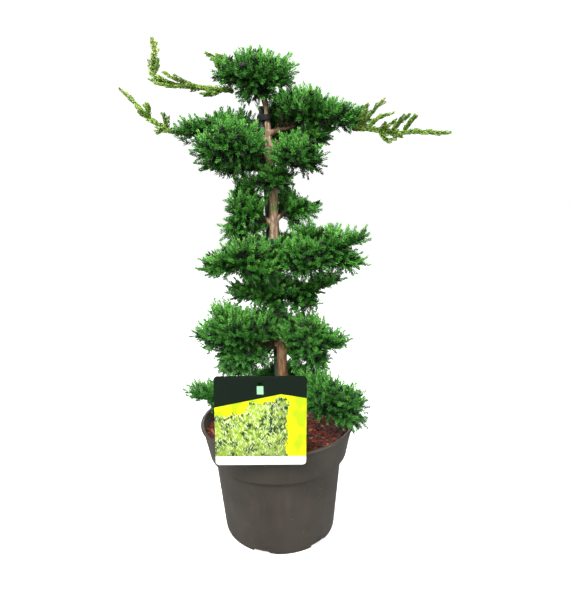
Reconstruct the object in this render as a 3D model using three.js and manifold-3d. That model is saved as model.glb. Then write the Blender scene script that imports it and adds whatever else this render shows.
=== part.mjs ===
// A creeping juniper trained on a short stem as a bonsai, in a round nursery pot with compost and
// bark mulch, a cane with its ties, and a plant label hooked over the rim.
// Millimetres, +Z up. The origin is on the ground under the middle of the pot; the label faces -Y.
import * as THREE from "three";
import { mergeVertices } from "three/addons/utils/BufferGeometryUtils.js";
import Module from "manifold-3d";

const wasm = await Module();
wasm.setup();

// ---------------------------------------------------------------------------------------------
// Driving dimensions

const GAP = 0.4; // left between touching pieces

const POT = {
  height: 142,
  rimRadius: 95,
  lipDrop: 4,
  lipReach: 2.4,
  edge: 1, // slope cut off each edge
  collarHeight: 40,
  collarFootRadius: 85,
  neckRadius: 79,
  heelRadius: 69.5,
  heelHeight: 5,
  heelBulge: 0.75, // share of the heel's step that lies below heelBulgeHeight
  heelBulgeHeight: 2,
  footRadius: 66.5,
  footWidth: 4.5,
  wall: 1.8,
  floorHeight: 6,
  floorThickness: 2.2,
  segments: 48,
};

// Each notch in the foot has a lower step beside it.
const NOTCHES = {
  count: 6,
  firstDegrees: -110,
  wide: 20,
  high: 5,
  stepWide: 12,
  stepHigh: 2.5,
  stepDegrees: 14,
};
const DRAIN_HOLES = { count: 8, radius: 4.5, ringRadius: 42 };

const MULCH = {
  top: 129,
  depth: 12,
  roughness: 1.8,
  flatEdge: 10, // how far from the wall its surface grows uneven
  edgeGap: 0.6,
  rings: 5,
  segments: 30,
};

// The stem's axis, from deep in the compost to inside the crown, with its radius at each point.
const STEM = [
  { at: [9, 0, 70], radius: 5.0 },
  { at: [10, 1, 110], radius: 8.2 },
  { at: [10, 0, 135], radius: 8.0 },
  { at: [8.5, 0, 170], radius: 6.6 },
  { at: [8, 0, 215], radius: 6.0 },
  { at: [5, 0, 290], radius: 5.8 },
  { at: [2.5, 0, 365], radius: 5.5 },
  { at: [2.5, 0, 410], radius: 5.2 },
  { at: [-1, 0, 465], radius: 4.2 },
  { at: [-2, 0, 490], radius: 3.6 },
  { at: [-2.8, 0, 501], radius: 2.2 },
  { at: [-3.2, 0, 508], radius: 2.0 },
  { at: [-4, 0, 514], radius: 3.4 },
  { at: [-8, 1, 527], radius: 2.4 },
  { at: [-11, 0, 552], radius: 1.4 },
];
const STEM_SIDES = 10;

const LIMB = { rootRadius: 3.0, rootShare: 0.7, tipRadius: 1.3, rise: 5, sides: 5, steps: 3 };

const CANE = {
  radius: 3.2,
  foot: [6.4, 13, 30],
  top: [-8.5, 7, 512.5],
  sides: 8,
  knots: 3,
  knotRadius: 3.7,
  knotHalfLength: 1.8,
  knotPlace: 0.9, // share of each length between knots
};

const TIE = { wall: 1.6, slack: 1.2, height: 6.5 };
const TIES = {
  tie_upper: { z: 496, color: 0x101010 },
  tie_lower: { z: 359, color: 0x22443a },
};

const LABEL = {
  width: 96,
  height: 99.5,
  thickness: 0.8,
  corner: 4,
  centre: [-17.6, -97.8, 184],
  leanDegrees: 1.3,
  holeRadius: 2.4,
  holeDrop: 8,
};
const CLIP = {
  width: 16,
  thickness: 1,
  top: 190,
  inside: 121,
  overRim: 143.1,
  innerY: -82,
  bendReach: 2.6,
  innerLean: 2.4,
};

// Each cloud of foliage: where its limb leaves the stem, where the limb ends, and the lobes of its
// leafy outside, each as centre x, y, z and half-sizes x, y, z.
const CLOUDS = {
  foliage_crown: {
    limbFrom: 530,
    limbTo: [-42, -2, 543],
    lobes: [
      [-14, 0, 545, 32, 32, 26],
      [-37, -2, 547, 21, 22, 16],
      [14, -2, 546, 16, 18, 16],
      [-20, -2, 527, 18, 16, 11],
      [-4, -6, 521, 12, 10, 9],
    ],
  },
  foliage_upper_right: {
    limbFrom: 482,
    limbTo: [88, -12, 491],
    lobes: [
      [35, 0, 509, 30, 32, 22],
      [64, -8, 500, 28, 26, 15],
      [20, 4, 522, 17, 16, 11],
      [90, -12, 494, 20, 17, 13],
    ],
  },
  foliage_upper_right_inner: {
    limbFrom: 468,
    limbTo: [52, 14, 481],
    lobes: [
      [42, 10, 480, 28, 28, 15],
      [56, 26, 486, 18, 18, 13],
    ],
  },
  foliage_upper_left_back: {
    limbFrom: 474,
    limbTo: [-86, 20, 490],
    lobes: [
      [-46, 25, 495, 38, 28, 16],
      [-88, 20, 492, 24, 17, 13],
    ],
  },
  foliage_upper_left_front: {
    limbFrom: 455,
    limbTo: [-60, -20, 464],
    lobes: [
      [-36, -27, 471, 33, 28, 22],
      [-62, -20, 467, 24, 22, 16],
    ],
  },
  foliage_left_skirt: {
    limbFrom: 438,
    limbTo: [-64, -3, 448],
    lobes: [
      [-42, -6, 449, 28, 24, 12],
      [-66, -2, 451, 16, 14, 9],
    ],
  },
  foliage_right_shelf: {
    limbFrom: 440,
    limbTo: [44, -12, 453],
    lobes: [
      [26, -27, 459, 28, 26, 18],
      [42, -8, 451, 18, 20, 14],
    ],
  },
  foliage_neck: {
    limbFrom: 424,
    limbTo: [6, -20, 434],
    lobes: [[2, -15, 433, 24, 19, 14]],
  },
  foliage_shoulder_left: {
    limbFrom: 380,
    limbTo: [-34, -2, 398],
    lobes: [
      [-29, -2, 402, 24, 24, 24],
      [-40, 2, 376, 20, 20, 14],
      [-27, 0, 430, 15, 15, 11],
      [-17, 4, 378, 13, 12, 11],
    ],
  },
  foliage_shoulder_right: {
    limbFrom: 386,
    limbTo: [38, 0, 398],
    lobes: [
      [33, 0, 398, 22, 20, 14],
      [13, 12, 411, 13, 13, 20],
      [18, 8, 416, 11, 12, 12],
      [22, 0, 384, 12, 12, 9],
    ],
  },
  foliage_middle_left: {
    limbFrom: 330,
    limbTo: [-62, -8, 337],
    lobes: [
      [-30, -12, 350, 32, 30, 19],
      [-62, -8, 338, 24, 20, 14],
      [-14, -25, 333, 22, 18, 16],
      [-12, -6, 318, 14, 14, 14],
      [4, -14, 352, 14, 12, 14],
    ],
  },
  foliage_middle_right: {
    limbFrom: 328,
    limbTo: [92, -4, 352],
    lobes: [
      [36, -16, 346, 32, 30, 24],
      [64, -4, 360, 23, 26, 19],
      [38, -4, 374, 16, 14, 11],
      [92, -2, 366, 22, 12, 9],
      [84, -6, 336, 25, 18, 11],
    ],
  },
  foliage_waist_left: {
    limbFrom: 296,
    limbTo: [-38, 0, 304],
    lobes: [
      [-36, 0, 305, 20, 18, 12],
      [-18, -4, 302, 16, 16, 15],
      [4, -13, 312, 16, 12, 16],
      [4, -14, 287, 15, 12, 13],
    ],
  },
  foliage_waist_right: {
    limbFrom: 292,
    limbTo: [40, 4, 301],
    lobes: [
      [38, 4, 302, 20, 20, 14],
      [15, -2, 308, 14, 16, 16],
      [62, 0, 316, 21, 16, 10],
      [34, 2, 287, 22, 20, 10],
    ],
  },
  foliage_lower_left: {
    limbFrom: 236,
    limbTo: [-76, -2, 250],
    lobes: [
      [-48, -6, 262, 34, 32, 26],
      [-76, -2, 252, 22, 22, 18],
      [-40, 0, 226, 32, 28, 15],
      [-62, -2, 281, 18, 16, 11],
      [-46, -2, 208, 28, 22, 9],
      [-14, 2, 222, 13, 13, 12],
      [-8, -14, 264, 20, 14, 17],
    ],
  },
  foliage_lower_right: {
    limbFrom: 228,
    limbTo: [66, -6, 240],
    lobes: [
      [38, -10, 253, 27, 32, 26],
      [66, -6, 243, 22, 20, 12],
      [48, -4, 216, 18, 18, 13],
      [24, -2, 226, 15, 14, 14],
      [16, -14, 262, 14, 12, 16],
    ],
  },
  foliage_base_left: {
    limbFrom: 156,
    limbTo: [-92, -6, 178],
    lobes: [
      [-90, -6, 183, 23, 19, 8],
      [-68, -4, 171, 19, 16, 13],
    ],
  },
  foliage_base_right: {
    limbFrom: 150,
    limbTo: [82, -34, 172],
    lobes: [
      [58, -30, 178, 30, 28, 24],
      [80, -34, 176, 23, 24, 19],
      [44, -10, 202, 18, 20, 12],
      [80, -48, 161, 16, 14, 11],
      [95, -44, 154, 10, 9, 6],
    ],
  },
  foliage_back_upper: {
    limbFrom: 460,
    limbTo: [4, 52, 470],
    lobes: [
      [4, 54, 470, 36, 28, 20],
      [-24, 48, 458, 22, 22, 14],
      [14, 32, 500, 24, 22, 24],
    ],
  },
  foliage_back_middle: {
    limbFrom: 334,
    limbTo: [6, 50, 345],
    lobes: [
      [8, 50, 348, 38, 30, 22],
      [-26, 42, 340, 22, 22, 16],
    ],
  },
  foliage_back_lower: {
    limbFrom: 232,
    limbTo: [-6, 50, 248],
    lobes: [
      [-8, 52, 250, 36, 30, 24],
      [26, 48, 236, 24, 24, 18],
    ],
  },
  foliage_base_back: {
    limbFrom: 152,
    limbTo: [12, 50, 176],
    lobes: [
      [12, 52, 180, 34, 26, 17],
      [-22, 46, 174, 22, 20, 13],
    ],
  },
};
const LOBE_DETAIL = 1;
const LOBE_UNEVENNESS = 0.1; // share of a lobe's size

// Long shoots that outgrew the clouds: a main run of points and the side shoots that leave it.
const SHOOT = { rootRadius: 3.4, tipRadius: 1.4, sides: 5, steps: 10, sideSteps: 3, sideShare: 0.8 };
const LONG_SHOOTS = {
  long_shoot_upper_left: {
    main: [
      [-38, 0, 527],
      [-54, 0, 530],
      [-79, 2, 533],
      [-98, 4, 536],
      [-116, 5, 542],
      [-126, 6, 548],
      [-125, 6, 566],
      [-124, 6, 584],
    ],
    sides: [
      [[-51, 0, 529], [-63, -3, 525], [-73, -4, 526]],
      [[-80, 2, 534], [-101, -1, 542], [-113, -3, 548]],
      [[-100, 3, 535], [-116, 1, 537], [-129, 0, 542]],
      [[-125, 6, 550], [-122, 7, 558], [-121, 8, 563]],
    ],
  },
  long_shoot_left: {
    main: [
      [-99, 22, 487],
      [-115, 26, 491],
      [-127, 31, 498],
      [-142, 37, 509],
      [-155, 43, 522],
      [-167, 48, 534],
      [-176, 51, 542],
    ],
    sides: [
      [[-119, 28, 494], [-121, 25, 503], [-122, 22, 509]],
      [[-121, 29, 495], [-126, 26, 492], [-131, 24, 495]],
      [[-139, 36, 507], [-146, 32, 510], [-150, 30, 514]],
      [[-141, 37, 509], [-142, 35, 516], [-143, 34, 522]],
    ],
  },
  long_shoot_right: {
    main: [
      [89, -18, 483],
      [109, -28, 480],
      [126, -39, 476],
      [150, -55, 474],
      [175, -74, 470],
    ],
    sides: [
      [[94, -20, 484], [107, -22, 495], [115, -26, 504], [121, -28, 510]],
      [[98, -20, 488], [102, -18, 500], [106, -20, 506]],
      [[104, -25, 482], [115, -28, 491], [130, -34, 496]],
      [[116, -33, 478], [124, -38, 483], [130, -41, 488]],
      [[116, -33, 477], [122, -37, 469], [134, -45, 472]],
      [[128, -40, 477], [136, -45, 486], [143, -48, 491]],
      [[138, -46, 476], [143, -49, 483], [149, -52, 489]],
    ],
  },
  long_shoot_crown: {
    main: [
      [-32, -2, 555],
      [-43, -2, 559],
      [-54, -2, 562],
      [-65, -2, 567],
    ],
    sides: [
      [[-45, -2, 559], [-50, -6, 556], [-54, -8, 557]],
    ],
  },
};

// ---------------------------------------------------------------------------------------------
// Solids: three.js geometry turned into manifold-3d solids for cutting and joining

const vec = (p) => new THREE.Vector3(...p);

/** A closed three.js geometry as a solid, for a cut or a join. */
function solidOf(geometry) {
  const bare = new THREE.BufferGeometry();
  bare.setAttribute("position", geometry.getAttribute("position"));
  if (geometry.index) bare.setIndex(geometry.index);
  const merged = mergeVertices(bare, 1e-4);
  return new wasm.Manifold(
    new wasm.Mesh({
      numProp: 3,
      vertProperties: new Float32Array(merged.attributes.position.array),
      triVerts: new Uint32Array(merged.index.array),
    }),
  );
}

/** A solid back as a three.js geometry. */
function geometryOf(solid) {
  const mesh = solid.getMesh();
  const places = new Float32Array(mesh.numVert * 3);
  for (let i = 0; i < mesh.numVert; i++) {
    places.set(mesh.vertProperties.subarray(i * mesh.numProp, i * mesh.numProp + 3), i * 3);
  }
  const geometry = new THREE.BufferGeometry();
  geometry.setAttribute("position", new THREE.BufferAttribute(places, 3));
  geometry.setIndex(new THREE.BufferAttribute(mesh.triVerts, 1));
  geometry.computeVertexNormals();
  return geometry;
}

const joined = (solids) => solids.reduce((all, one) => all.add(one));
const without = (solid, cutters) => cutters.reduce((left, cutter) => left.subtract(cutter), solid);

/** The largest body of a solid that a cut may have left in several. */
function mainBody(solid) {
  return solid.decompose().reduce((best, one) => (one.volume() > best.volume() ? one : best));
}

/** A profile of [radius, height] pairs turned about Z. */
function turned(profile, segments) {
  const points = profile.map(([r, z]) => new THREE.Vector2(r, z));
  const geometry = new THREE.LatheGeometry(points, segments);
  return geometry.rotateX(Math.PI / 2);
}

/** A closed round bar through a row of centres, with a radius at each: a turned profile bent onto them. */
function bar(centres, radii, sides, grow = 0) {
  const last = centres.length - 1;
  const profile = [new THREE.Vector2(0, 0)];
  radii.forEach((radius, i) => profile.push(new THREE.Vector2(radius + grow, i)));
  profile.push(new THREE.Vector2(0, last));
  const geometry = new THREE.LatheGeometry(profile, sides);
  let normal = centres[1].clone().sub(centres[0]).cross(vec([0.3, 1, 0.2])).normalize();
  const frames = centres.map((centre, i) => {
    const tangent = centres[Math.min(i + 1, last)].clone().sub(centres[Math.max(i - 1, 0)]).normalize();
    normal = normal.clone().addScaledVector(tangent, -normal.dot(tangent)).normalize();
    return { centre, tangent, normal, binormal: tangent.clone().cross(normal) };
  });
  const places = geometry.getAttribute("position");
  for (let i = 0; i < places.count; i++) {
    const station = Math.round(places.getY(i));
    const { centre, tangent, normal: across, binormal } = frames[station];
    const overrun = (station === last) * grow - (station === 0) * grow; // grown at its ends too
    const at = centre.clone().addScaledVector(tangent, overrun);
    at.addScaledVector(across, places.getZ(i)).addScaledVector(binormal, places.getX(i));
    places.setXYZ(i, at.x, at.y, at.z);
  }
  return solidOf(geometry);
}

/** A bar along a smooth curve through some points, its radius running evenly from root to tip. */
function taperedBar(points, rootRadius, tipRadius, sides, steps, grow) {
  const centres = new THREE.CatmullRomCurve3(points).getSpacedPoints(steps);
  const radii = centres.map((_, i) => rootRadius + ((tipRadius - rootRadius) * i) / steps);
  return bar(centres, radii, sides, grow);
}

/** A flat outline in X and Z, thickened along Y from y. */
function plateFacingFront(shape, y, thickness) {
  const options = { depth: thickness, bevelEnabled: false, curveSegments: 6 };
  const geometry = new THREE.ExtrudeGeometry(shape, options);
  return geometry.rotateX(Math.PI / 2).translate(0, y + thickness, 0);
}

// ---------------------------------------------------------------------------------------------
// Pot, compost and mulch

const collarFoot = POT.height - POT.collarHeight;

/** The pot wall's outer radius at a height on the tapering part below the collar. */
function bodyRadius(z) {
  return THREE.MathUtils.mapLinear(z, POT.heelHeight, collarFoot, POT.heelRadius, POT.neckRadius);
}

/** The same on the collar. */
function collarRadius(z) {
  const [foot, lip] = [POT.collarFootRadius, POT.rimRadius - POT.lipReach];
  return THREE.MathUtils.mapLinear(z, collarFoot, POT.height - POT.lipDrop, foot, lip);
}

function pot() {
  const { height, rimRadius, lipDrop, lipReach, edge, wall, footRadius, footWidth } = POT;
  const floorTop = POT.floorHeight + POT.floorThickness;
  const heelBulge = (POT.heelRadius - footRadius) * POT.heelBulge;
  const profile = [
    [0, POT.floorHeight],
    [footRadius - footWidth, POT.floorHeight],
    [footRadius - footWidth, 0],
    [footRadius, 0],
    [footRadius + heelBulge, POT.heelBulgeHeight],
    [POT.heelRadius, POT.heelHeight],
    [POT.neckRadius, collarFoot - edge],
    [POT.collarFootRadius - edge, collarFoot - edge],
    [POT.collarFootRadius, collarFoot],
    [rimRadius - lipReach, height - lipDrop],
    [rimRadius, height - lipDrop + edge],
    [rimRadius, height - edge],
    [rimRadius - edge, height],
    [rimRadius - lipReach - wall + edge, height],
    [rimRadius - lipReach - wall, height - edge],
    [POT.collarFootRadius - wall, collarFoot + wall - edge],
    [POT.neckRadius - wall, collarFoot + wall - edge],
    [bodyRadius(floorTop) - wall, floorTop],
    [0, floorTop],
  ];
  const notch = (degrees, wide, high) => {
    const box = new THREE.BoxGeometry(footWidth * 3, wide, high * 2).translate(footRadius, 0, 0);
    return solidOf(box.rotateZ(THREE.MathUtils.degToRad(degrees)));
  };
  const cuts = [];
  for (let i = 0; i < NOTCHES.count; i++) {
    const degrees = NOTCHES.firstDegrees + (360 / NOTCHES.count) * i;
    cuts.push(notch(degrees, NOTCHES.wide, NOTCHES.high));
    cuts.push(notch(degrees + NOTCHES.stepDegrees, NOTCHES.stepWide, NOTCHES.stepHigh));
  }
  for (let i = 0; i < DRAIN_HOLES.count; i++) {
    const { radius, ringRadius, count } = DRAIN_HOLES;
    const drill = new THREE.CylinderGeometry(radius, radius, 4 * POT.floorThickness, 12);
    drill.rotateX(Math.PI / 2).translate(ringRadius, 0, POT.floorHeight);
    cuts.push(solidOf(drill.rotateZ((2 * Math.PI * (i + 0.5)) / count)));
  }
  return without(solidOf(turned(profile, POT.segments)), cuts);
}

function rootBall(cutters) {
  const top = MULCH.top - MULCH.depth - GAP;
  const floorTop = POT.floorHeight + POT.floorThickness + GAP;
  const inset = POT.wall + 2 * GAP;
  const shoulder = collarFoot + POT.wall + GAP;
  const profile = [
    [0, floorTop],
    [bodyRadius(floorTop) - inset, floorTop],
    [POT.neckRadius - inset, shoulder],
    [collarRadius(shoulder) - inset, shoulder],
    [collarRadius(top) - inset, top],
    [0, top],
  ];
  return mainBody(without(solidOf(turned(profile, POT.segments / 2)), cutters));
}

/** How far the mulch's top stands above or below its mean level at a point. */
function mulchSwell(x, y) {
  const ridges = Math.sin(x * 0.21 + 1.1) * Math.cos(y * 0.24 - 0.4) + 0.6 * Math.sin(x * 0.47 - y * 0.39);
  return MULCH.roughness * ridges;
}

function barkMulch(cutters) {
  const { top, depth, rings } = MULCH;
  const bottom = top - depth;
  const inset = POT.wall + 2 * GAP;
  const edge = collarRadius(top) - inset - MULCH.edgeGap;
  const profile = [
    [0, bottom],
    [collarRadius(bottom) - inset, bottom],
  ];
  for (let i = rings; i > 0; i--) profile.push([(edge * i) / rings, top]);
  profile.push([0, top]);
  const geometry = turned(profile, MULCH.segments);
  const places = geometry.getAttribute("position");
  for (let i = 0; i < places.count; i++) {
    const [x, y, z] = [places.getX(i), places.getY(i), places.getZ(i)];
    const share = THREE.MathUtils.clamp((edge - Math.hypot(x, y)) / MULCH.flatEdge, 0, 1);
    if (z > bottom + depth / 2) places.setZ(i, z + mulchSwell(x, y) * share);
  }
  return mainBody(without(solidOf(geometry), cutters));
}

// ---------------------------------------------------------------------------------------------
// Wood: the stem and its limbs, grown as one piece

/** The stem's centre and radius at a height. */
function stemAt(z) {
  const i = Math.max(1, STEM.findIndex((s) => s.at[2] >= z));
  const [low, high] = [STEM[i - 1], STEM[i]];
  const t = (z - low.at[2]) / (high.at[2] - low.at[2]);
  const radius = low.radius + (high.radius - low.radius) * t;
  return { centre: vec(low.at).lerp(vec(high.at), t), radius };
}

function wood(grow = 0) {
  const stemCentres = STEM.map((station) => vec(station.at));
  const stemRadii = STEM.map((station) => station.radius);
  const limbs = Object.values(CLOUDS).map(({ limbFrom, limbTo }) => {
    const root = stemAt(limbFrom);
    const to = vec(limbTo);
    const middle = root.centre.clone().lerp(to, 0.5).add(vec([0, 0, LIMB.rise]));
    const rootRadius = Math.min(LIMB.rootRadius, LIMB.rootShare * root.radius);
    return taperedBar([root.centre, middle, to], rootRadius, LIMB.tipRadius, LIMB.sides, LIMB.steps, grow);
  });
  return joined([bar(stemCentres, stemRadii, STEM_SIDES, grow), ...limbs]);
}

// ---------------------------------------------------------------------------------------------
// Foliage clouds and long shoots

/** A lobe of foliage: an ellipsoid with an uneven surface. */
function lobe([x, y, z, ...halfSizes], grow) {
  const geometry = new THREE.IcosahedronGeometry(1, LOBE_DETAIL);
  const places = geometry.getAttribute("position");
  const way = new THREE.Vector3();
  for (let i = 0; i < places.count; i++) {
    way.fromBufferAttribute(places, i);
    const humps = Math.sin(4 * way.x + 0.1 * x) * Math.sin(3.6 * way.y + 0.1 * z);
    const tiers = 0.5 * Math.sin(5 * way.z + 0.1 * y);
    way.multiplyScalar(1 + LOBE_UNEVENNESS * (humps + tiers));
    places.setXYZ(i, ...halfSizes.map((half, axis) => way.getComponent(axis) * (half + grow)));
  }
  return solidOf(geometry.translate(x, y, z));
}

const cloud = ({ lobes }, grow = 0) => joined(lobes.map((one) => lobe(one, grow)));

function longShoot({ main, sides }, grow = 0) {
  const run = (points, share, steps) => {
    const [root, tip] = [SHOOT.rootRadius * share, SHOOT.tipRadius * share];
    return taperedBar(points.map(vec), root, tip, SHOOT.sides, steps, grow);
  };
  const branches = sides.map((side) => run(side, SHOOT.sideShare, SHOOT.sideSteps));
  return joined([run(main, 1, SHOOT.steps), ...branches]);
}

// ---------------------------------------------------------------------------------------------
// Cane and ties

const caneLine = new THREE.LineCurve3(vec(CANE.foot), vec(CANE.top));

function cane(grow = 0) {
  const stretch = (from, to, radius) => {
    const ends = [from, to].map((t) => caneLine.getPoint(t));
    return bar(ends, [radius, radius], CANE.sides, grow);
  };
  const half = CANE.knotHalfLength / caneLine.getLength();
  const solids = [stretch(0, 1, CANE.radius)];
  for (let i = 0; i < CANE.knots; i++) {
    const middle = (i + CANE.knotPlace) / CANE.knots;
    solids.push(stretch(middle - half, middle + half, CANE.knotRadius));
  }
  return joined(solids);
}

/** The outline of a belt round two circles, grown by a margin. */
function beltOutline(a, aRadius, b, bRadius, margin) {
  const apart = Math.hypot(b.x - a.x, b.y - a.y);
  const heading = Math.atan2(b.y - a.y, b.x - a.x);
  const spread = Math.acos((aRadius - bRadius) / apart);
  const outline = new THREE.Shape();
  outline.absarc(a.x, a.y, aRadius + margin, heading + spread, heading - spread + 2 * Math.PI, false);
  outline.absarc(b.x, b.y, bRadius + margin, heading - spread, heading + spread, false);
  outline.closePath();
  return outline;
}

/** A soft band round the stem and the cane together, at a height. */
function tieBand(z) {
  const middle = z + TIE.height / 2;
  const stem = stemAt(middle);
  const caneCentre = caneLine.getPoint((middle - CANE.foot[2]) / (CANE.top[2] - CANE.foot[2]));
  const slab = (margin, low, high) => {
    const outline = beltOutline(stem.centre, stem.radius, caneCentre, CANE.radius, margin);
    const options = { depth: high - low, bevelEnabled: false, curveSegments: 5 };
    return solidOf(new THREE.ExtrudeGeometry(outline, options).translate(0, 0, low));
  };
  const inner = slab(TIE.slack, z - 1, z + TIE.height + 1);
  return slab(TIE.slack + TIE.wall, z, z + TIE.height).subtract(inner);
}

// ---------------------------------------------------------------------------------------------
// Label and its clip

function plantLabel() {
  const { width, height, corner, thickness, centre, holeRadius, holeDrop } = LABEL;
  const [w, h] = [width / 2, height / 2];
  const outline = new THREE.Shape();
  outline.absarc(w - corner, h - corner, corner, 0, Math.PI / 2, false);
  outline.absarc(-w + corner, h - corner, corner, Math.PI / 2, Math.PI, false);
  outline.absarc(-w + corner, -h + corner, corner, Math.PI, 1.5 * Math.PI, false);
  outline.absarc(w - corner, -h + corner, corner, 1.5 * Math.PI, 2 * Math.PI, false);
  outline.closePath();
  const hole = new THREE.Path();
  hole.absarc(0, h - holeDrop, holeRadius, 0, 2 * Math.PI, true);
  outline.holes.push(hole);
  const plate = plateFacingFront(outline, -thickness / 2, thickness);
  plate.rotateY(THREE.MathUtils.degToRad(LABEL.leanDegrees)).translate(...centre);
  return solidOf(plate);
}

/** A strip behind the label that hooks over the rim and down inside it. */
function labelClip(grow = 0) {
  const { width, thickness, top, inside, overRim, innerY, bendReach, innerLean } = CLIP;
  const back = LABEL.centre[1] + LABEL.thickness / 2 + GAP + thickness / 2;
  const line = [
    [back, top],
    [back, overRim + bendReach],
    [back + bendReach, overRim],
    [innerY - bendReach, overRim],
    [innerY, overRim - bendReach],
    [innerY + innerLean, inside],
  ].map(([y, z]) => new THREE.Vector2(y, z));
  const half = thickness / 2 + grow;
  const side = (sign) =>
    line.map((p, i) => {
      const before = line[Math.max(0, i - 1)];
      const after = line[Math.min(line.length - 1, i + 1)];
      const way = after.clone().sub(before).normalize();
      return new THREE.Vector2(p.x - way.y * half * sign, p.y + way.x * half * sign);
    });
  const section = new THREE.Shape([...side(1), ...side(-1).reverse()]);
  const strip = new THREE.ExtrudeGeometry(section, { depth: width + 2 * grow, bevelEnabled: false });
  strip.applyMatrix4(new THREE.Matrix4().set(0, 0, 1, 0, 1, 0, 0, 0, 0, 1, 0, 0, 0, 0, 0, 1));
  return solidOf(strip.translate(LABEL.centre[0] - width / 2 - grow, 0, 0));
}

// ---------------------------------------------------------------------------------------------
// The assembled plant

const finish = (color, roughness) => new THREE.MeshStandardMaterial({ color, roughness, metalness: 0 });
const MATERIALS = {
  pot: finish(0x4b463f, 0.5),
  compost: finish(0x2e1d12, 0.95),
  mulch: finish(0x6b3016, 0.85),
  bark: finish(0xa08a70, 0.85),
  foliage: finish(0x326c24, 0.6),
  newGrowth: finish(0x8aa53c, 0.6),
  cane: finish(0x5f7a68, 0.5),
  label: finish(0xdde81c, 0.3),
  clip: finish(0xe8e6df, 0.4),
};

const plant = new THREE.Group();
function place(name, solid, material) {
  const mesh = new THREE.Mesh(geometryOf(solid), material);
  mesh.name = name;
  plant.add(mesh);
}

const woodRoom = wood(GAP);
const caneRoom = cane(GAP);
place("nursery_pot", pot(), MATERIALS.pot);
place("root_ball", rootBall([woodRoom, caneRoom]), MATERIALS.compost);
place("bark_mulch", barkMulch([woodRoom, caneRoom, labelClip(GAP)]), MATERIALS.mulch);
place("stem_and_limbs", wood(), MATERIALS.bark);
place("bamboo_cane", without(cane(), [woodRoom]), MATERIALS.cane);
for (const [name, { z, color }] of Object.entries(TIES)) {
  place(name, mainBody(without(tieBand(z), [woodRoom, caneRoom])), finish(color, 0.6));
}
place("plant_label", plantLabel(), MATERIALS.label);
place("label_clip", labelClip(), MATERIALS.clip);

const shootRooms = [];
for (const [name, shoot] of Object.entries(LONG_SHOOTS)) {
  place(name, mainBody(without(longShoot(shoot), [woodRoom])), MATERIALS.newGrowth);
  shootRooms.push(longShoot(shoot, GAP));
}

const taken = [woodRoom, caneRoom, ...shootRooms, ...Object.values(TIES).map(({ z }) => tieBand(z))];
for (const [name, form] of Object.entries(CLOUDS)) {
  place(name, mainBody(without(cloud(form), taken)), MATERIALS.foliage);
  taken.push(cloud(form, GAP));
}

export default plant;
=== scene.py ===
"""The looks of a young juniper, trained as a tiered bonsai in a nursery pot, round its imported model.

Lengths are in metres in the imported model's frame: +Z up, the ground at z = 0, the label towards -Y.
"""

import logging
import math
import random
from dataclasses import dataclass, field
from enum import Enum
from typing import Callable, Iterable, Sequence

import bmesh
import bpy
import numpy as np
from mathutils import Matrix, Vector, noise
from mathutils.bvhtree import BVHTree


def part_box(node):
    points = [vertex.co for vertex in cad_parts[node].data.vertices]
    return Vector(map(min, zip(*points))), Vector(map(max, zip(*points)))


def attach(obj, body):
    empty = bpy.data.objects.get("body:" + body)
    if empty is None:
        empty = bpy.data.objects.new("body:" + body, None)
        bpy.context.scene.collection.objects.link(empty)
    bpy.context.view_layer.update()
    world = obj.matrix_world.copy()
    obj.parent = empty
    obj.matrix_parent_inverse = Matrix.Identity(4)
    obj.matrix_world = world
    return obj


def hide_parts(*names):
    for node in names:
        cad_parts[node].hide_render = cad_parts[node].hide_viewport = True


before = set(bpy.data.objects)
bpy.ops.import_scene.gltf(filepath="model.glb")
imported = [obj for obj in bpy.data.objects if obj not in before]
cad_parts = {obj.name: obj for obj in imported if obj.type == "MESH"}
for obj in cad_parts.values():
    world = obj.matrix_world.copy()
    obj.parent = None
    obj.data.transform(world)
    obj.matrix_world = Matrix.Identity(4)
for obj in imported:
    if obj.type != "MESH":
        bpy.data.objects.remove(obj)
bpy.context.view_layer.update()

LOG = logging.getLogger("juniper")
MM = 0.001
RIGHT = Vector((1, 0, 0))
BACK = Vector((0, 1, 0))
UP = Vector((0, 0, 1))
CHIP_KINDS = 10
Colour = tuple[float, float, float]


def colour(red: int, green: int, blue: int) -> Colour:
    """Turns a colour from everyday 0 to 255 numbers into a shader's linear ones.

    Args:
        red: Red, 0 to 255.
        green: Green, 0 to 255.
        blue: Blue, 0 to 255.

    Returns:
        The same colour as three linear numbers.
    """

    def linear(level: int) -> float:
        """Returns one linear level."""
        share = level / 255
        return share / 12.92 if share <= 0.04045 else ((share + 0.055) / 1.055) ** 2.4

    return linear(red), linear(green), linear(blue)


# ------------------------------------------------------------------------------------------------
# Shader maths


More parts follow.
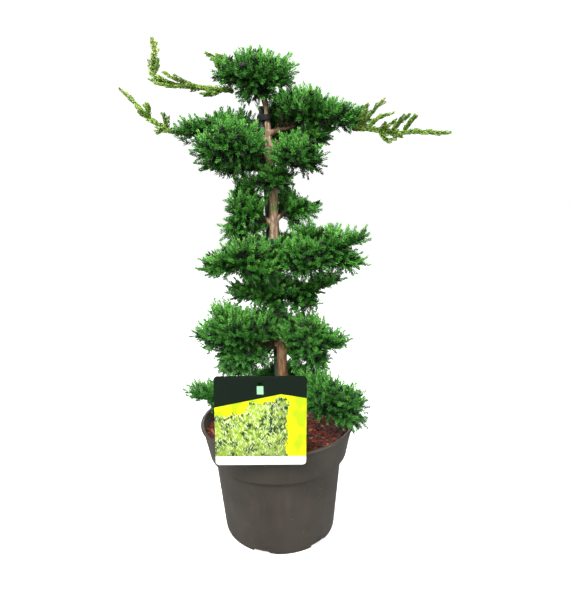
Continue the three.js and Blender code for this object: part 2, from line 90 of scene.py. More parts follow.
class Signal:
    """A shader socket that takes part in arithmetic: an expression on it adds Math nodes."""

    def __init__(self, shader: "Shader", socket: bpy.types.NodeSocket) -> None:
        """Wraps a socket of a shader."""
        self.shader = shader
        self.socket = socket

    def _math(self, operation: str, *values: "Signal | float") -> "Signal":
        """Returns the result of a Math node."""
        return self.shader.add("ShaderNodeMath", {"operation": operation}, dict(enumerate(values)))

    def __add__(self, other: "Signal | float") -> "Signal":
        """Returns the sum."""
        return self._math("ADD", self, other)

    def __sub__(self, other: "Signal | float") -> "Signal":
        """Returns the difference."""
        return self._math("SUBTRACT", self, other)

    def __rsub__(self, other: float) -> "Signal":
        """Returns a number less this signal."""
        return self._math("SUBTRACT", other, self)

    def __mul__(self, other: "Signal | float") -> "Signal":
        """Returns the product."""
        return self._math("MULTIPLY", self, other)

    def __gt__(self, other: "Signal | float") -> "Signal":
        """Returns 1 where this signal is the greater, and 0 elsewhere."""
        return self._math("GREATER_THAN", self, other)

    def __lt__(self, other: "Signal | float") -> "Signal":
        """Returns 1 where this signal is the smaller, and 0 elsewhere."""
        return self._math("LESS_THAN", self, other)

    __radd__ = __add__
    __rmul__ = __mul__

    def __abs__(self) -> "Signal":
        """Returns the size without its sign."""
        return self._math("ABSOLUTE", self)

    def most(self, other: "Signal | float") -> "Signal":
        """Returns the greater of the two."""
        return self._math("MAXIMUM", self, other)

    def span(self, low: float, high: float, to_low: float = 0.0, to_high: float = 1.0) -> "Signal":
        """Maps a range of this signal smoothly onto another.

        Args:
            low: Where the range starts.
            high: Where it ends.
            to_low: The result at and below the start.
            to_high: The result at and above the end.

        Returns:
            The mapped signal.
        """
        inputs = {"Value": self, "From Min": low, "From Max": high, "To Min": to_low, "To Max": to_high}
        return self.shader.add("ShaderNodeMapRange", {"interpolation_type": "SMOOTHSTEP"}, inputs)


Level = Signal | float
Tint = Signal | Colour


class Shader:
    """A material under construction."""

    def __init__(self, name: str) -> None:
        """Starts an empty material.

        Args:
            name: The material's name.
        """
        self.material = bpy.data.materials.new(name)
        self.material.use_nodes = True
        self.tree = self.material.node_tree
        self.tree.nodes.clear()

    def add(
        self, kind: str, settings: dict | None = None, inputs: dict | None = None, out: int | str = 0
    ) -> Signal:
        """Adds a node.

        Args:
            kind: The node's type.
            settings: Its settings, which are set first; a ramp's stops are a list under "stops".
            inputs: Values or signals for its sockets, by name or number.
            out: The output to return.

        Returns:
            The output as a signal.
        """
        node = self.tree.nodes.new(kind)
        for name, value in (settings or {}).items():
            if name == "stops":
                self._set_stops(node.color_ramp, value)
            else:
                setattr(node, name, value)
        for key, value in (inputs or {}).items():
            socket = node.inputs[key]
            if isinstance(value, Signal):
                self.tree.links.new(value.socket, socket)
            elif socket.type == "RGBA":
                socket.default_value = (*value, 1.0)
            else:
                socket.default_value = value
        return Signal(self, node.outputs[out])

    @staticmethod
    def _set_stops(ramp: bpy.types.ColorRamp, stops: Sequence[tuple[float, Colour]]) -> None:
        """Gives a colour ramp its stops.

        Args:
            ramp: The ramp.
            stops: Each stop, as its place and its colour.
        """
        while len(ramp.elements) < len(stops):
            ramp.elements.new(0.5)
        for element, (place, tint) in zip(ramp.elements, stops):
            element.position = place
            element.color = (*tint, 1.0)

    def place(
        self, scale: Sequence[float] = (1, 1, 1), centre: Sequence[float] = (0, 0, 0), turn: float = 0.0
    ) -> Signal:
        """Returns object coordinates from a centre, turned about Y, then stretched along each axis.

        Args:
            scale: The stretch along X, Y and Z.
            centre: The point that becomes zero.
            turn: The turn about Y, in radians.

        Returns:
            The coordinates.
        """
        here = self.add("ShaderNodeTexCoord", out="Object")
        inputs = {"Vector": here, "Location": centre, "Rotation": (0, turn, 0)}
        from_centre = self.add("ShaderNodeMapping", {"vector_type": "TEXTURE"}, inputs)
        return self.add("ShaderNodeMapping", {}, {"Vector": from_centre, "Scale": scale})

    def apart(self, vector: Signal) -> tuple[Signal, Signal, Signal]:
        """Returns a vector's three parts."""
        node = self.tree.nodes.new("ShaderNodeSeparateXYZ")
        self.tree.links.new(vector.socket, node.inputs[0])
        return tuple(Signal(self, node.outputs[i]) for i in range(3))

    def noise(self, vector: Signal, scale: float, detail: float = 3.0, roughness: float = 0.55) -> Signal:
        """Returns a cloudy pattern from 0 to 1."""
        inputs = {"Vector": vector, "Scale": scale, "Detail": detail, "Roughness": roughness}
        return self.add("ShaderNodeTexNoise", {}, inputs)

    def cells(self, vector: Signal, scale: float, out: str = "Distance") -> Signal:
        """Returns a cell pattern: the distance to each cell's seed, or the cell's own colour."""
        return self.add("ShaderNodeTexVoronoi", {"feature": "F1"}, {"Vector": vector, "Scale": scale}, out)

    def mix(self, share: Level, first: Tint, second: Tint) -> Signal:
        """Returns a blend of two colours, the second one's share given."""
        settings = {"data_type": "RGBA", "blend_type": "MIX", "clamp_factor": True}
        return self.add("ShaderNodeMix", settings, {0: share, 6: first, 7: second}, 2)

    def ramp(self, share: Signal, *stops: tuple[float, Colour]) -> Signal:
        """Returns a colour from a row of stops."""
        return self.add("ShaderNodeValToRGB", {"stops": stops}, {0: share})

    def own(self, name: str) -> Signal:
        """Returns a number that the mesh holds under a name."""
        return self.add("ShaderNodeAttribute", {"attribute_name": name}, out="Fac")

    def bump(self, height: Signal, depth: float, strength: float = 1.0, over: Signal | None = None) -> Signal:
        """Returns a normal bent by a height pattern.

        Args:
            height: The pattern, 0 to 1.
            depth: How tall 1 is, in metres.
            strength: The share of the effect.
            over: A coarser bump that this one lies on.

        Returns:
            The normal.
        """
        inputs = {"Height": height, "Distance": depth, "Strength": strength}
        if over is not None:
            inputs["Normal"] = over
        return self.add("ShaderNodeBump", {}, inputs)

    def surface(
        self, base: Tint, roughness: Level, normal: Signal | None = None, **fixed: float | Colour
    ) -> bpy.types.Material:
        """Ends the material with its shader.

        Args:
            base: The colour.
            roughness: The roughness.
            normal: The bent normal, if any.
            **fixed: Values of other sockets, by name with an underscore for each space.

        Returns:
            The material.
        """
        inputs: dict = {"Base Color": base, "Roughness": roughness}
        if normal is not None:
            inputs["Normal"] = normal
        inputs.update({name.replace("_", " "): value for name, value in fixed.items()})
        shader = self.add("ShaderNodeBsdfPrincipled", {}, inputs)
        self.add_output(shader)
        return self.material

    def add_output(self, shader: Signal) -> None:
        """Links a shader to the material's output."""
        output = self.tree.nodes.new("ShaderNodeOutputMaterial")
        self.tree.links.new(shader.socket, output.inputs["Surface"])


# ------------------------------------------------------------------------------------------------
# Finishes


@dataclass(frozen=True)
class PotPlastic:
    """Moulded grey-brown plastic, scuffed and dusty from the bench."""

    base: Colour = colour(67, 61, 53)
    dusty: Colour = colour(84, 75, 63)
    dark: Colour = colour(54, 49, 42)
    dust: Colour = colour(160, 144, 124)
    roughness: float = 0.4

    def build(self) -> bpy.types.Material:
        """Makes the material.

        Returns:
            The material.
        """
        make = Shader("pot_plastic")
        here = make.place()
        cloud = make.noise(here, 18, 4)
        streaks = make.noise(make.place((90, 90, 9)), 1.0, 3)
        tone = make.mix(cloud.span(0.3, 0.7), self.dark, self.base)
        tone = make.mix(streaks.span(0.52, 0.8, 0, 0.45), tone, self.dusty)
        specks = (make.cells(here, 210) < 0.11) * make.noise(here, 30).span(0.56, 0.68)
        tone = make.mix(specks * 0.55, tone, self.dust)
        scratches = make.noise(make.place((30, 30, 420)), 1.0, 2).span(0.66, 0.74)
        gloss = self.roughness + streaks * 0.2 + scratches * 0.12
        grain = make.bump(make.noise(here, 900, 2), 0.00006, 0.35)
        scored = make.bump(scratches, 0.00008, 0.5, grain)
        return make.surface(tone, gloss, scored, Specular_IOR_Level=0.4)


@dataclass(frozen=True)
class Compost:
    """Dark fibrous potting compost."""

    dark: Colour = colour(30, 19, 12)
    light: Colour = colour(74, 52, 36)

    def build(self) -> bpy.types.Material:
        """Makes the material.

        Returns:
            The material.
        """
        make = Shader("compost")
        here = make.place()
        crumbs = make.cells(here, 420)
        fibres = make.noise(make.place((900, 200, 300)), 1.0, 4)
        tone = make.mix(fibres.span(0.4, 0.7), self.dark, self.light)
        lumpy = make.bump(crumbs + fibres * 0.5, 0.0012)
        return make.surface(tone, 0.95, lumpy, Specular_IOR_Level=0.15)


@dataclass(frozen=True)
class MulchBark:
    """Chips of conifer bark, each a little different in colour by its own number, with pale splinters."""

    deep: Colour = colour(46, 15, 8)
    rust: Colour = colour(140, 56, 28)
    tan: Colour = colour(188, 116, 78)

    def build(self) -> bpy.types.Material:
        """Makes the material.

        Returns:
            The material.
        """
        make = Shader("mulch_bark")
        here = make.place()
        shade = make.own("shade")
        grain = make.noise(make.place((260, 900, 900)), 1.0, 4)
        tone = make.ramp(shade, (0.0, self.deep), (0.55, self.rust), (0.86, self.rust), (1.0, self.tan))
        tone = make.mix(grain.span(0.35, 0.7, 0.0, 0.6), tone, self.deep)
        pale = make.noise(here, 700, 2).span(0.64, 0.72) * 0.5
        tone = make.mix(pale, tone, self.tan)
        rough = make.bump(grain, 0.0006, 0.8)
        return make.surface(tone, 0.78, rough, Specular_IOR_Level=0.3)


@dataclass(frozen=True)
class JuniperBark:
    """Thin pinkish-grey bark that peels in upright strips, browner and fresher near the ground.

    The stem's middle stands at foot_x at the ground and moves left by slope times the height. Bark that is
    further out than the stem is wide belongs to a limb and is painted darker: painted shade inside the
    foliage.
    """

    grey: Colour = colour(172, 148, 126)
    pale: Colour = colour(192, 170, 150)
    brown: Colour = colour(146, 112, 84)
    crevice: Colour = colour(96, 72, 54)
    low_dark: Colour = colour(98, 66, 40)
    low_light: Colour = colour(160, 116, 78)
    algae: Colour = colour(98, 128, 60)
    limb: Colour = colour(40, 34, 20)
    twig_brown: Colour = colour(72, 48, 26)
    foot_x: float = 0.0148
    slope: float = 0.0338
    twig: bool = False

    def build(self) -> bpy.types.Material:
        """Makes the material.

        Returns:
            The material.
        """
        make = Shader("juniper_twig" if self.twig else "juniper_bark")
        here = make.place()
        upright = make.place((1, 1, 0.16))
        strips = make.noise(upright, 520, 5, 0.62)
        plates = make.cells(make.place((1, 1, 0.22)), 300)
        tone = make.mix(strips.span(0.36, 0.62), self.brown, self.grey)
        tone = make.mix(make.noise(here, 150, 3).span(0.5, 0.7, 0, 0.8), tone, self.pale)
        if self.twig:
            tone = make.mix(0.75, tone, self.twig_brown)
        else:
            x, y, height = make.apart(here)
            low = height.span(0.2, 0.3, 0.85, 0.0)
            tone = make.mix(low, tone, make.mix(strips, self.low_dark, self.low_light))
            rub = make.noise(here, 60, 3).span(0.46, 0.6)
            patch = height.span(0.392, 0.4) * height.span(0.408, 0.418, 1.0, 0.0)
            tone = make.mix(patch * rub * 0.75, tone, self.algae)
            # Painted shade: limb bark above 0.2 m, which sits inside the foliage, is darkened towards near
            # black.
            aside = abs(x + height * self.slope - self.foot_x)
            narrowing = height.span(0.42, 0.46, 0.0, 0.0019)
            away = (aside.most(abs(y)) + narrowing).span(0.0066, 0.0088, 0.0, 0.92)
            tone = make.mix(away * height.span(0.2, 0.22), tone, self.limb)
        cracks = plates.span(0.45, 0.65)
        tone = make.mix(cracks * 0.6, tone, self.crevice)
        relief = make.bump(strips - cracks * 0.6, 0.0004 if self.twig else 0.0011)
        return make.surface(tone, 0.86, relief, Specular_IOR_Level=0.2)


class Growth(Enum):
    """How old a shoot is: its leaves' colours from the stem end to the tip."""

    MATURE = "mature"
    FRESH = "fresh"


@dataclass(frozen=True)
class Leaf:
    """Awl-shaped juniper leaves: waxy, with painted shade in the heart and paler tips that are partly painted
    highlight; each shoot is as bright as its own number says, which holds its growth and painted light.
    """

    growth: Growth
    shadow: Colour
    body: Colour
    bright: Colour
    young_and_lit: Colour
    tip: Colour
    roughness: float = 0.38
    cool: Colour = colour(86, 152, 88)

    def build(self) -> bpy.types.Material:
        """Makes the material.

        Returns:
            The material.
        """
        make = Shader(f"leaf_{self.growth.value}")
        shade, along = make.own("shade"), make.own("along")
        # The shade number runs from painted shadow to the brightest colour, mixing the shoot's growth with
        # painted light.
        tone = make.ramp(shade, (0.0, self.shadow), (0.34, self.body), (0.72, self.bright), (1.0, self.young_and_lit))
        # Painted shade: each leaf is darkened towards its foot, in the heart of the shoot.
        tone = make.mix(along.span(0.05, 0.6, 0.9, 0.0), tone, self.shadow)
        # Paler tips, partly as new growth and partly as painted highlight, strongest on shoots painted
        # brighter.
        tone = make.mix(along.span(0.5, 1.0, 0.0, 0.7) * shade.span(0.15, 0.8, 0.1, 1.0), tone, self.tip)
        here = make.place()
        low = make.apart(here)[2].span(0.22, 0.34, 0.2, 0.0)
        tone = make.mix(low * along.span(0.3, 0.8), tone, self.cool)
        speckle = make.noise(here, 420, 2)
        tone = make.mix(speckle.span(0.45, 0.75, 0.0, 0.4), tone, self.shadow)
        return make.surface(tone, self.roughness + speckle * 0.2, None, Specular_IOR_Level=0.4)


@dataclass(frozen=True)
class DyedCane:
    """A split cane dyed grey-green, with upright fibres and rubbed knots."""

    green: Colour = colour(80, 102, 86)
    worn: Colour = colour(116, 128, 102)
    dark: Colour = colour(38, 54, 44)

    def build(self) -> bpy.types.Material:
        """Makes the material.

        Returns:
            The material.
        """
        make = Shader("dyed_cane")
        fibres = make.noise(make.place((1, 1, 0.03)), 1400, 3)
        blotch = make.noise(make.place((1, 1, 0.3)), 120, 3)
        tone = make.mix(fibres.span(0.3, 0.7), self.dark, self.green)
        tone = make.mix(blotch.span(0.55, 0.75, 0.0, 0.6), tone, self.worn)
        return make.surface(tone, 0.5 + blotch * 0.2, make.bump(fibres, 0.00025), Specular_IOR_Level=0.35)


@dataclass(frozen=True)
class Rubber:
    """Soft tie rubber with a dull bloom."""

    name: str
    tint: Colour
    bloom: Colour

    def build(self) -> bpy.types.Material:
        """Makes the material.

        Returns:
            The material.
        """
        make = Shader(self.name)
        here = make.place()
        dust = make.noise(here, 260, 4)
        tone = make.mix(dust.span(0.45, 0.75, 0.0, 0.5), self.tint, self.bloom)
        grain = make.bump(make.noise(here, 1500, 2), 0.0001)
        return make.surface(tone, 0.6 + dust * 0.2, grain, Specular_IOR_Level=0.3)


@dataclass(frozen=True)
class ClipPlastic:
    """Milky moulded plastic with faint flow marks."""

    tint: Colour = colour(222, 220, 210)
    shade: Colour = colour(196, 192, 180)

    def build(self) -> bpy.types.Material:
        """Makes the material.

        Returns:
            The material.
        """
        make = Shader("clip_plastic")
        flow = make.noise(make.place((20, 60, 60)), 1.0, 4)
        tone = make.mix(flow.span(0.3, 0.7), self.tint, self.shade)
        grain = make.bump(make.noise(make.place(), 1200, 2), 0.00005, 0.4)
        return make.surface(tone, 0.38 + flow * 0.15, grain)


@dataclass(frozen=True)
class Studio:
    """Plain white studio paper, lit from behind."""

    name: str
    glow: float
    tint: Colour = (0.9, 0.9, 0.9)

    def build(self) -> bpy.types.Material:
        """Returns the material."""
        make = Shader(self.name)
        fixed = {"Emission_Color": (1.0, 1.0, 1.0), "Emission_Strength": self.glow}
        return make.surface(self.tint, 0.9, None, Specular_IOR_Level=0.05, **fixed)


@dataclass(frozen=True)
class PrintedLabel:
    """A glossy printed card: a dark head, a yellow-green field with a sprigged picture, and a white foot."""

    width: float
    height: float
    centre: Vector
    lean: float
    head: Colour = colour(12, 26, 16)
    field: Colour = colour(222, 232, 20)
    blur: Colour = colour(178, 200, 24)
    foot: Colour = colour(250, 249, 246)
    panel: Colour = colour(150, 204, 158)
    gaps: Colour = colour(34, 62, 34)
    haze: Colour = colour(150, 180, 50)
    leaves: Colour = colour(122, 160, 72)
    tips: Colour = colour(236, 246, 178)

    def _sprigs(self, make: Shader, across: Signal, down: Signal) -> Signal:
        """Prints the sprigs in three turned layers of fine pointed strokes.

        Args:
            make: The material under construction.
            across: The share of the width, from the left.
            down: The share of the height, from the top.

        Returns:
            Their colour.
        """
        clumps = make.noise(make.place(), 110, 3)
        tone: Tint = make.mix(clumps.span(0.4, 0.6), self.gaps, self.haze)
        for layer, (turn, reach) in enumerate(((0.5, 0.4), (-0.7, 0.4), (0.05, 0.36))):
            offset = (0.013 * layer, 0.0, 0.007 * layer)
            strokes = make.cells(make.place((1.0, 0.001, 0.28), offset, turn), 620 - 60 * layer)
            light = make.cells(make.place((1.0, 0.001, 0.28), offset, turn), 620 - 60 * layer, out="Color")
            tint = make.mix(make.apart(light)[0], self.leaves, self.tips)
            tone = make.mix(strokes.span(reach - 0.16, reach + 0.06, 0.95, 0.0), tone, tint)
        right = across.span(0.5, 0.8, 0.0, 0.45) * clumps.span(0.5, 0.62, 1.0, 0.3)
        deep = make.mix(down.span(0.6, 0.9, 0.0, 0.25), tone, self.gaps)
        return make.mix(right, deep, self.gaps)

    def build(self) -> bpy.types.Material:
        """Makes the material.

        Returns:
            The material.
        """
        make = Shader("printed_label")
        local = make.place((1 / self.width, 1.0, 1 / self.height), tuple(self.centre), self.lean)
        x, _, z = make.apart(local)
        across, down = x + 0.5, 0.5 - z
        edge = (0.345 - across * 0.201).most(0.085 + across * 0.16)
        field = make.mix(make.noise(make.place(), 60, 1).span(0.48, 0.66), self.field, self.blur)
        ragged = make.noise(make.place(), 70, 2) * 0.3 + make.noise(make.place(), 420, 2) * 0.16 - 0.23
        hump = 0.46 - across * 0.33 + ragged
        inside = (down > hump) * ((across + ragged * 0.6) < 0.79)
        tone = make.mix(inside, field, self._sprigs(make, across, down))
        tone = make.mix(down < edge, tone, self.head)
        tone = make.mix(down > 0.9, tone, self.foot)
        panel = (abs(across - 0.498) < 0.035) * (abs(down - 0.155) < 0.045)
        tone = make.mix(panel, tone, self.panel)
        film = make.bump(make.noise(make.place(), 90, 2), 0.0004, 0.25)
        return make.surface(tone, 0.45, film, Specular_IOR_Level=0.15, Coat_Weight=0.03)


# ------------------------------------------------------------------------------------------------
# Mesh helpers


def smooth_path(points: Sequence[Vector], count: int) -> list[Vector]:
    """Runs a smooth line through some points.

    Args:
        points: The points, first to last.
        count: How many points the line gets, evenly spaced.

    Returns:
        The line's points.
    """
    ends = [points[0] * 2 - points[1], *points, points[-1] * 2 - points[-2]]
    fine: list[Vector] = []
    for a, b, c, d in zip(ends, ends[1:], ends[2:], ends[3:]):
        for step in range(12):
            t = step / 12
            curve = b * 2 + (c - a) * t + (a * 2 - b * 5 + c * 4 - d) * t**2 + (b * 3 - a - c * 3 + d) * t**3
            fine.append(curve * 0.5)
    fine.append(points[-1].copy())
    return evenly(fine, count)


def evenly(line: Sequence[Vector], count: int) -> list[Vector]:
    """Spreads a line's points evenly.

    Args:
        line: The line.
        count: How many points it gets.

    Returns:
        The points.
    """
    steps = np.array([0.0, *[(b - a).length for a, b in zip(line, line[1:])]]).cumsum()
    wanted = np.linspace(0, steps[-1], count)
    flat = np.array([tuple(p) for p in line])
    return [Vector(p) for p in zip(*(np.interp(wanted, steps, flat[:, axis]) for axis in range(3)))]


def length_of(line: Sequence[Vector]) -> float:
    """Returns a line's length."""
    return sum((b - a).length for a, b in zip(line, line[1:]))


def tangents(path: Sequence[Vector]) -> list[Vector]:
    """Returns the direction of a line at each of its points."""
    last = len(path) - 1
    return [(path[min(i + 1, last)] - path[max(i - 1, 0)]).normalized() for i in range(last + 1)]


@dataclass
class Facets:
    """Vertices and faces gathered for one mesh."""

    vertices: list[Vector] = field(default_factory=list)
    faces: list[tuple[int, ...]] = field(default_factory=list)

    def ring(
        self, centre: Vector, across: Vector, upward: Vector, sides: int, radius: Callable[[float], float]
    ) -> None:
        """Adds a ring of vertices.

        Args:
            centre: Its middle.
            across: The way to its first vertex.
            upward: The way to the vertex a quarter turn on.
            sides: The number of its vertices.
            radius: Its radius, by the angle.
        """
        for i in range(sides):
            angle = math.tau * i / sides
            spoke = across * math.cos(angle) + upward * math.sin(angle)
            self.vertices.append(centre + spoke * radius(angle))

    def bridge(self, first: int, second: int, sides: int) -> None:
        """Joins two rings of vertices, given the number of each one's first vertex."""
        for i in range(sides):
            after = (i + 1) % sides
            self.faces.append((first + i, first + after, second + after, second + i))

    def tube(
        self,
        path: Sequence[Vector],
        radii: Sequence[float],
        sides: int,
        relief: Callable[[Vector], float] = lambda place: 0.0,
    ) -> None:
        """Adds a closed tube.

        Args:
            path: The points of its axis.
            radii: Its radius at each point.
            sides: The number of its sides.
            relief: How far the surface stands out, by a point on it.
        """
        ways = tangents(path)
        across = ways[0].orthogonal().normalized()
        start = len(self.vertices)
        for number, (centre, way, thick) in enumerate(zip(path, ways, radii)):
            across = (across - way * across.dot(way)).normalized()
            upward = way.cross(across)

            def radius(angle: float) -> float:
                """Returns the radius at an angle of this ring."""
                spoke = across * math.cos(angle) + upward * math.sin(angle)
                return thick + relief(centre + spoke * thick)

            self.ring(centre, across, upward, sides, radius)
            if number:
                self.bridge(start + (number - 1) * sides, start + number * sides, sides)
        last = start + (len(path) - 1) * sides
        self.faces.append(tuple(range(start + sides - 1, start - 1, -1)))
        self.faces.append(tuple(range(last, last + sides)))

    def loop(self, path: Sequence[Vector], section: Sequence[tuple[float, float]]) -> None:
        """Adds a closed band that runs round a flat loop.

        Args:
            path: The loop's points, anticlockwise from above.
            section: The band's section, as steps outwards and upwards.
        """
        start, count, sides = len(self.vertices), len(path), len(section)
        for i, centre in enumerate(path):
            way = (path[(i + 1) % count] - path[i - 1]).normalized()
            outwards = way.cross(UP).normalized()
            self.vertices.extend(centre + outwards * out + UP * rise for out, rise in section)
        for i in range(count):
            self.bridge(start + ((i + 1) % count) * sides, start + i * sides, sides)

    def mesh(self, name: str, smooth_degrees: float | None = None) -> bpy.types.Mesh:
        """Makes the mesh.

        Args:
            name: Its name.
            smooth_degrees: The angle between faces up to which it is shaded smooth, if it is.

        Returns:
            The mesh.
        """
        made = bpy.data.meshes.new(name)
        made.from_pydata(self.vertices, [], self.faces)
        soften(made, smooth_degrees)
        return made


def welded(mesh: bpy.types.Mesh) -> None:
    """Merges a mesh's doubled vertices and turns its faces outwards.

    Args:
        mesh: The mesh, which is changed.
    """
    work = bmesh.new()
    work.from_mesh(mesh)
    bmesh.ops.remove_doubles(work, verts=work.verts, dist=1e-6)
    bmesh.ops.recalc_face_normals(work, faces=work.faces)
    work.to_mesh(mesh)
    work.free()


def soften(mesh: bpy.types.Mesh, degrees: float | None) -> None:
    """Shades a mesh smooth where its faces meet at less than an angle.

    Args:
        mesh: The mesh, which is changed.
        degrees: The angle, or None to leave it flat.
    """
    if degrees is not None:
        mesh.shade_smooth()
        mesh.set_sharp_from_angle(angle=math.radians(degrees))
    mesh.update()


def show(name: str, mesh: bpy.types.Mesh, replaced: Sequence[str]) -> bpy.types.Object:
    """Puts a finished piece in the scene, in place of its CAD nodes.

    Args:
        name: The piece's name.
        mesh: Its mesh, in place.
        replaced: The CAD nodes that it stands for.

    Returns:
        The piece's object.
    """
    mesh.name = name
    piece = bpy.data.objects.new(name, mesh)
    bpy.context.scene.collection.objects.link(piece)
    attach(piece, "root")
    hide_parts(*replaced)
    LOG.info("%s: %d faces", name, len(mesh.polygons))
    return piece


def dress(mesh: bpy.types.Mesh, *materials: bpy.types.Material) -> bpy.types.Mesh:
    """Gives a mesh its materials.

    Args:
        mesh: The mesh, which is changed.
        *materials: The materials.

    Returns:
        The same mesh.
    """
    mesh.materials.clear()
    for material in materials:
        mesh.materials.append(material)
    return mesh


# ------------------------------------------------------------------------------------------------
# Geometry node trees


class Grower:
    """A geometry node tree under construction, with named inputs."""

    def __init__(self, name: str) -> None:
        """Starts a tree that takes a geometry and gives one.

        Args:
            name: The tree's name.
        """
        self.tree = bpy.data.node_groups.new(name, "GeometryNodeTree")
        self.tree.interface.new_socket("Geometry", in_out="INPUT", socket_type="NodeSocketGeometry")
        self.tree.interface.new_socket("Geometry", in_out="OUTPUT", socket_type="NodeSocketGeometry")
        self.entry = self.tree.nodes.new("NodeGroupInput")
        self.exit = self.tree.nodes.new("NodeGroupOutput")
        self.identifiers: dict[str, str] = {}

    def input(self, name: str, kind: str) -> bpy.types.NodeSocket:
        """Adds a named input, of a kind such as Float or Material, and returns its socket."""
        socket = self.tree.interface.new_socket(name, in_out="INPUT", socket_type=f"NodeSocket{kind}")
        self.identifiers[name] = socket.identifier
        return self.entry.outputs[name]

    def add(self, kind: str, settings: dict | None = None, inputs: dict | None = None) -> bpy.types.Node:
        """Adds a node.

        Args:
            kind: The node's type.
            settings: Its settings, which are set first.
            inputs: Values or sockets for its inputs, by name or number.

        Returns:
            The node.
        """
        node = self.tree.nodes.new(kind)
        for name, value in (settings or {}).items():
            setattr(node, name, value)
        for key, value in (inputs or {}).items():
            if isinstance(value, bpy.types.Node):
                self.tree.links.new(value.outputs[0], node.inputs[key])
            elif isinstance(value, bpy.types.NodeSocket):
                self.tree.links.new(value, node.inputs[key])
            else:
                node.inputs[key].default_value = value
        return node

    def held(self, name: str, kind: str = "FLOAT") -> bpy.types.Node:
        """Returns a node that reads what each point holds under a name."""
        return self.add("GeometryNodeInputNamedAttribute", {"data_type": kind}, {"Name": name})

    def chance(self, low: float, high: float, seed: int) -> bpy.types.NodeSocket:
        """Returns a number drawn for each element, between two values."""
        node = self.add("FunctionNodeRandomValue", {"data_type": "FLOAT"}, {2: low, 3: high, "Seed": seed})
        return node.outputs[1]

    def planted(
        self,
        points: bpy.types.Node | bpy.types.NodeSocket,
        things: bpy.types.NodeSocket,
        pick: bpy.types.Node | bpy.types.NodeSocket,
        rotation: bpy.types.Node,
        size: bpy.types.Node | bpy.types.NodeSocket,
    ) -> bpy.types.Node:
        """Sets a collection's things on points.

        Args:
            points: The points.
            things: The collection to pick from.
            pick: The number of the thing that each point gets.
            rotation: How each one is turned.
            size: How large each one is.

        Returns:
            The instances.
        """
        inputs = {0: things, "Separate Children": True, "Reset Children": True}
        shelf = self.add("GeometryNodeCollectionInfo", {}, inputs)
        inputs = {"Points": points, "Instance": shelf, "Pick Instance": True, "Instance Index": pick}
        inputs |= {"Rotation": rotation, "Scale": size}
        return self.add("GeometryNodeInstanceOnPoints", {}, inputs)

    def realised(self, instances: bpy.types.Node, material: bpy.types.NodeSocket) -> bpy.types.Node:
        """Turns instances into a mesh that wears a material."""
        real = self.add("GeometryNodeRealizeInstances", {}, {"Geometry": instances})
        return self.add("GeometryNodeSetMaterial", {}, {"Geometry": real, "Material": material})

    def end(self, *parts: bpy.types.Node) -> None:
        """Ends the tree in these parts, joined."""
        whole = self.tree.nodes.new("GeometryNodeJoinGeometry")
        for part in parts:
            self.tree.links.new(part.outputs[0], whole.inputs[0])
        self.tree.links.new(whole.outputs[0], self.exit.inputs[0])

    def grow(self, source: bpy.types.Mesh, values: dict) -> bpy.types.Mesh:
        """Runs the tree on a mesh.

        Args:
            source: The mesh that it starts from.
            values: The tree's inputs, by name.

        Returns:
            The grown mesh.
        """
        carrier = bpy.data.objects.new("carrier", source)
        bpy.context.scene.collection.objects.link(carrier)
        modifier = carrier.modifiers.new("grow", "NODES")
        modifier.node_group = self.tree
        for name, value in values.items():
            modifier[self.identifiers[name]] = value
        depsgraph = bpy.context.evaluated_depsgraph_get()
        evaluated = carrier.evaluated_get(depsgraph)
        grown = bpy.data.meshes.new_from_object(evaluated, preserve_all_data_layers=True, depsgraph=depsgraph)
        carrier.modifiers.remove(modifier)
        bpy.data.objects.remove(carrier)
        for spent in ("heading", "size", "roll", "kind", "thick"):
            if spent in grown.attributes:
                grown.attributes.remove(grown.attributes[spent])
        return grown


def gather(name: str, meshes: Iterable[bpy.types.Mesh]) -> bpy.types.Collection:
    """Puts meshes in a collection of its own, which isn't shown, to be picked from.

    Args:
        name: The collection's name.
        meshes: The meshes.

    Returns:
        The collection.
    """
    shelf = bpy.data.collections.new(name)
    for number, mesh in enumerate(meshes):
        shelf.objects.link(bpy.data.objects.new(f"{name}_{number}", mesh))
    return shelf


def foliage_grower() -> Grower:
    """Makes the tree that sets shoots on points and gives twigs their thickness.

    Returns:
        The tree.
    """
    grow = Grower("grow_foliage")
    shoots = grow.input("Shoots", "Collection")
    twigs = grow.input("Twigs", "Object")
    leaf = grow.input("Leaf", "Material")
    wood = grow.input("Wood", "Material")
    heading = grow.held("heading", "FLOAT_VECTOR")
    aligned = grow.add("FunctionNodeAlignRotationToVector", {"axis": "Z"}, {"Vector": heading})
    spin = grow.add("FunctionNodeAxisAngleToRotation", {}, {"Axis": (0, 0, 1), "Angle": grow.held("roll")})
    turned = grow.add("FunctionNodeRotateRotation", {"rotation_space": "LOCAL"}, {0: aligned, 1: spin})
    set_out = grow.planted(grow.entry.outputs[0], shoots, grow.held("kind", "INT"), turned, grow.held("size"))
    leafy = grow.realised(set_out, leaf)
    lines = grow.add("GeometryNodeObjectInfo", {}, {"Object": twigs}).outputs["Geometry"]
    curves = grow.add("GeometryNodeMeshToCurve", {}, {"Mesh": lines})
    section = grow.add("GeometryNodeCurvePrimitiveCircle", {}, {"Resolution": 3, "Radius": 1.0})
    inputs = {"Curve": curves, "Profile Curve": section, "Fill Caps": True, "Scale": grow.held("thick")}
    woody = grow.add("GeometryNodeCurveToMesh", {}, inputs)
    grow.end(leafy, grow.realised(woody, wood))
    return grow


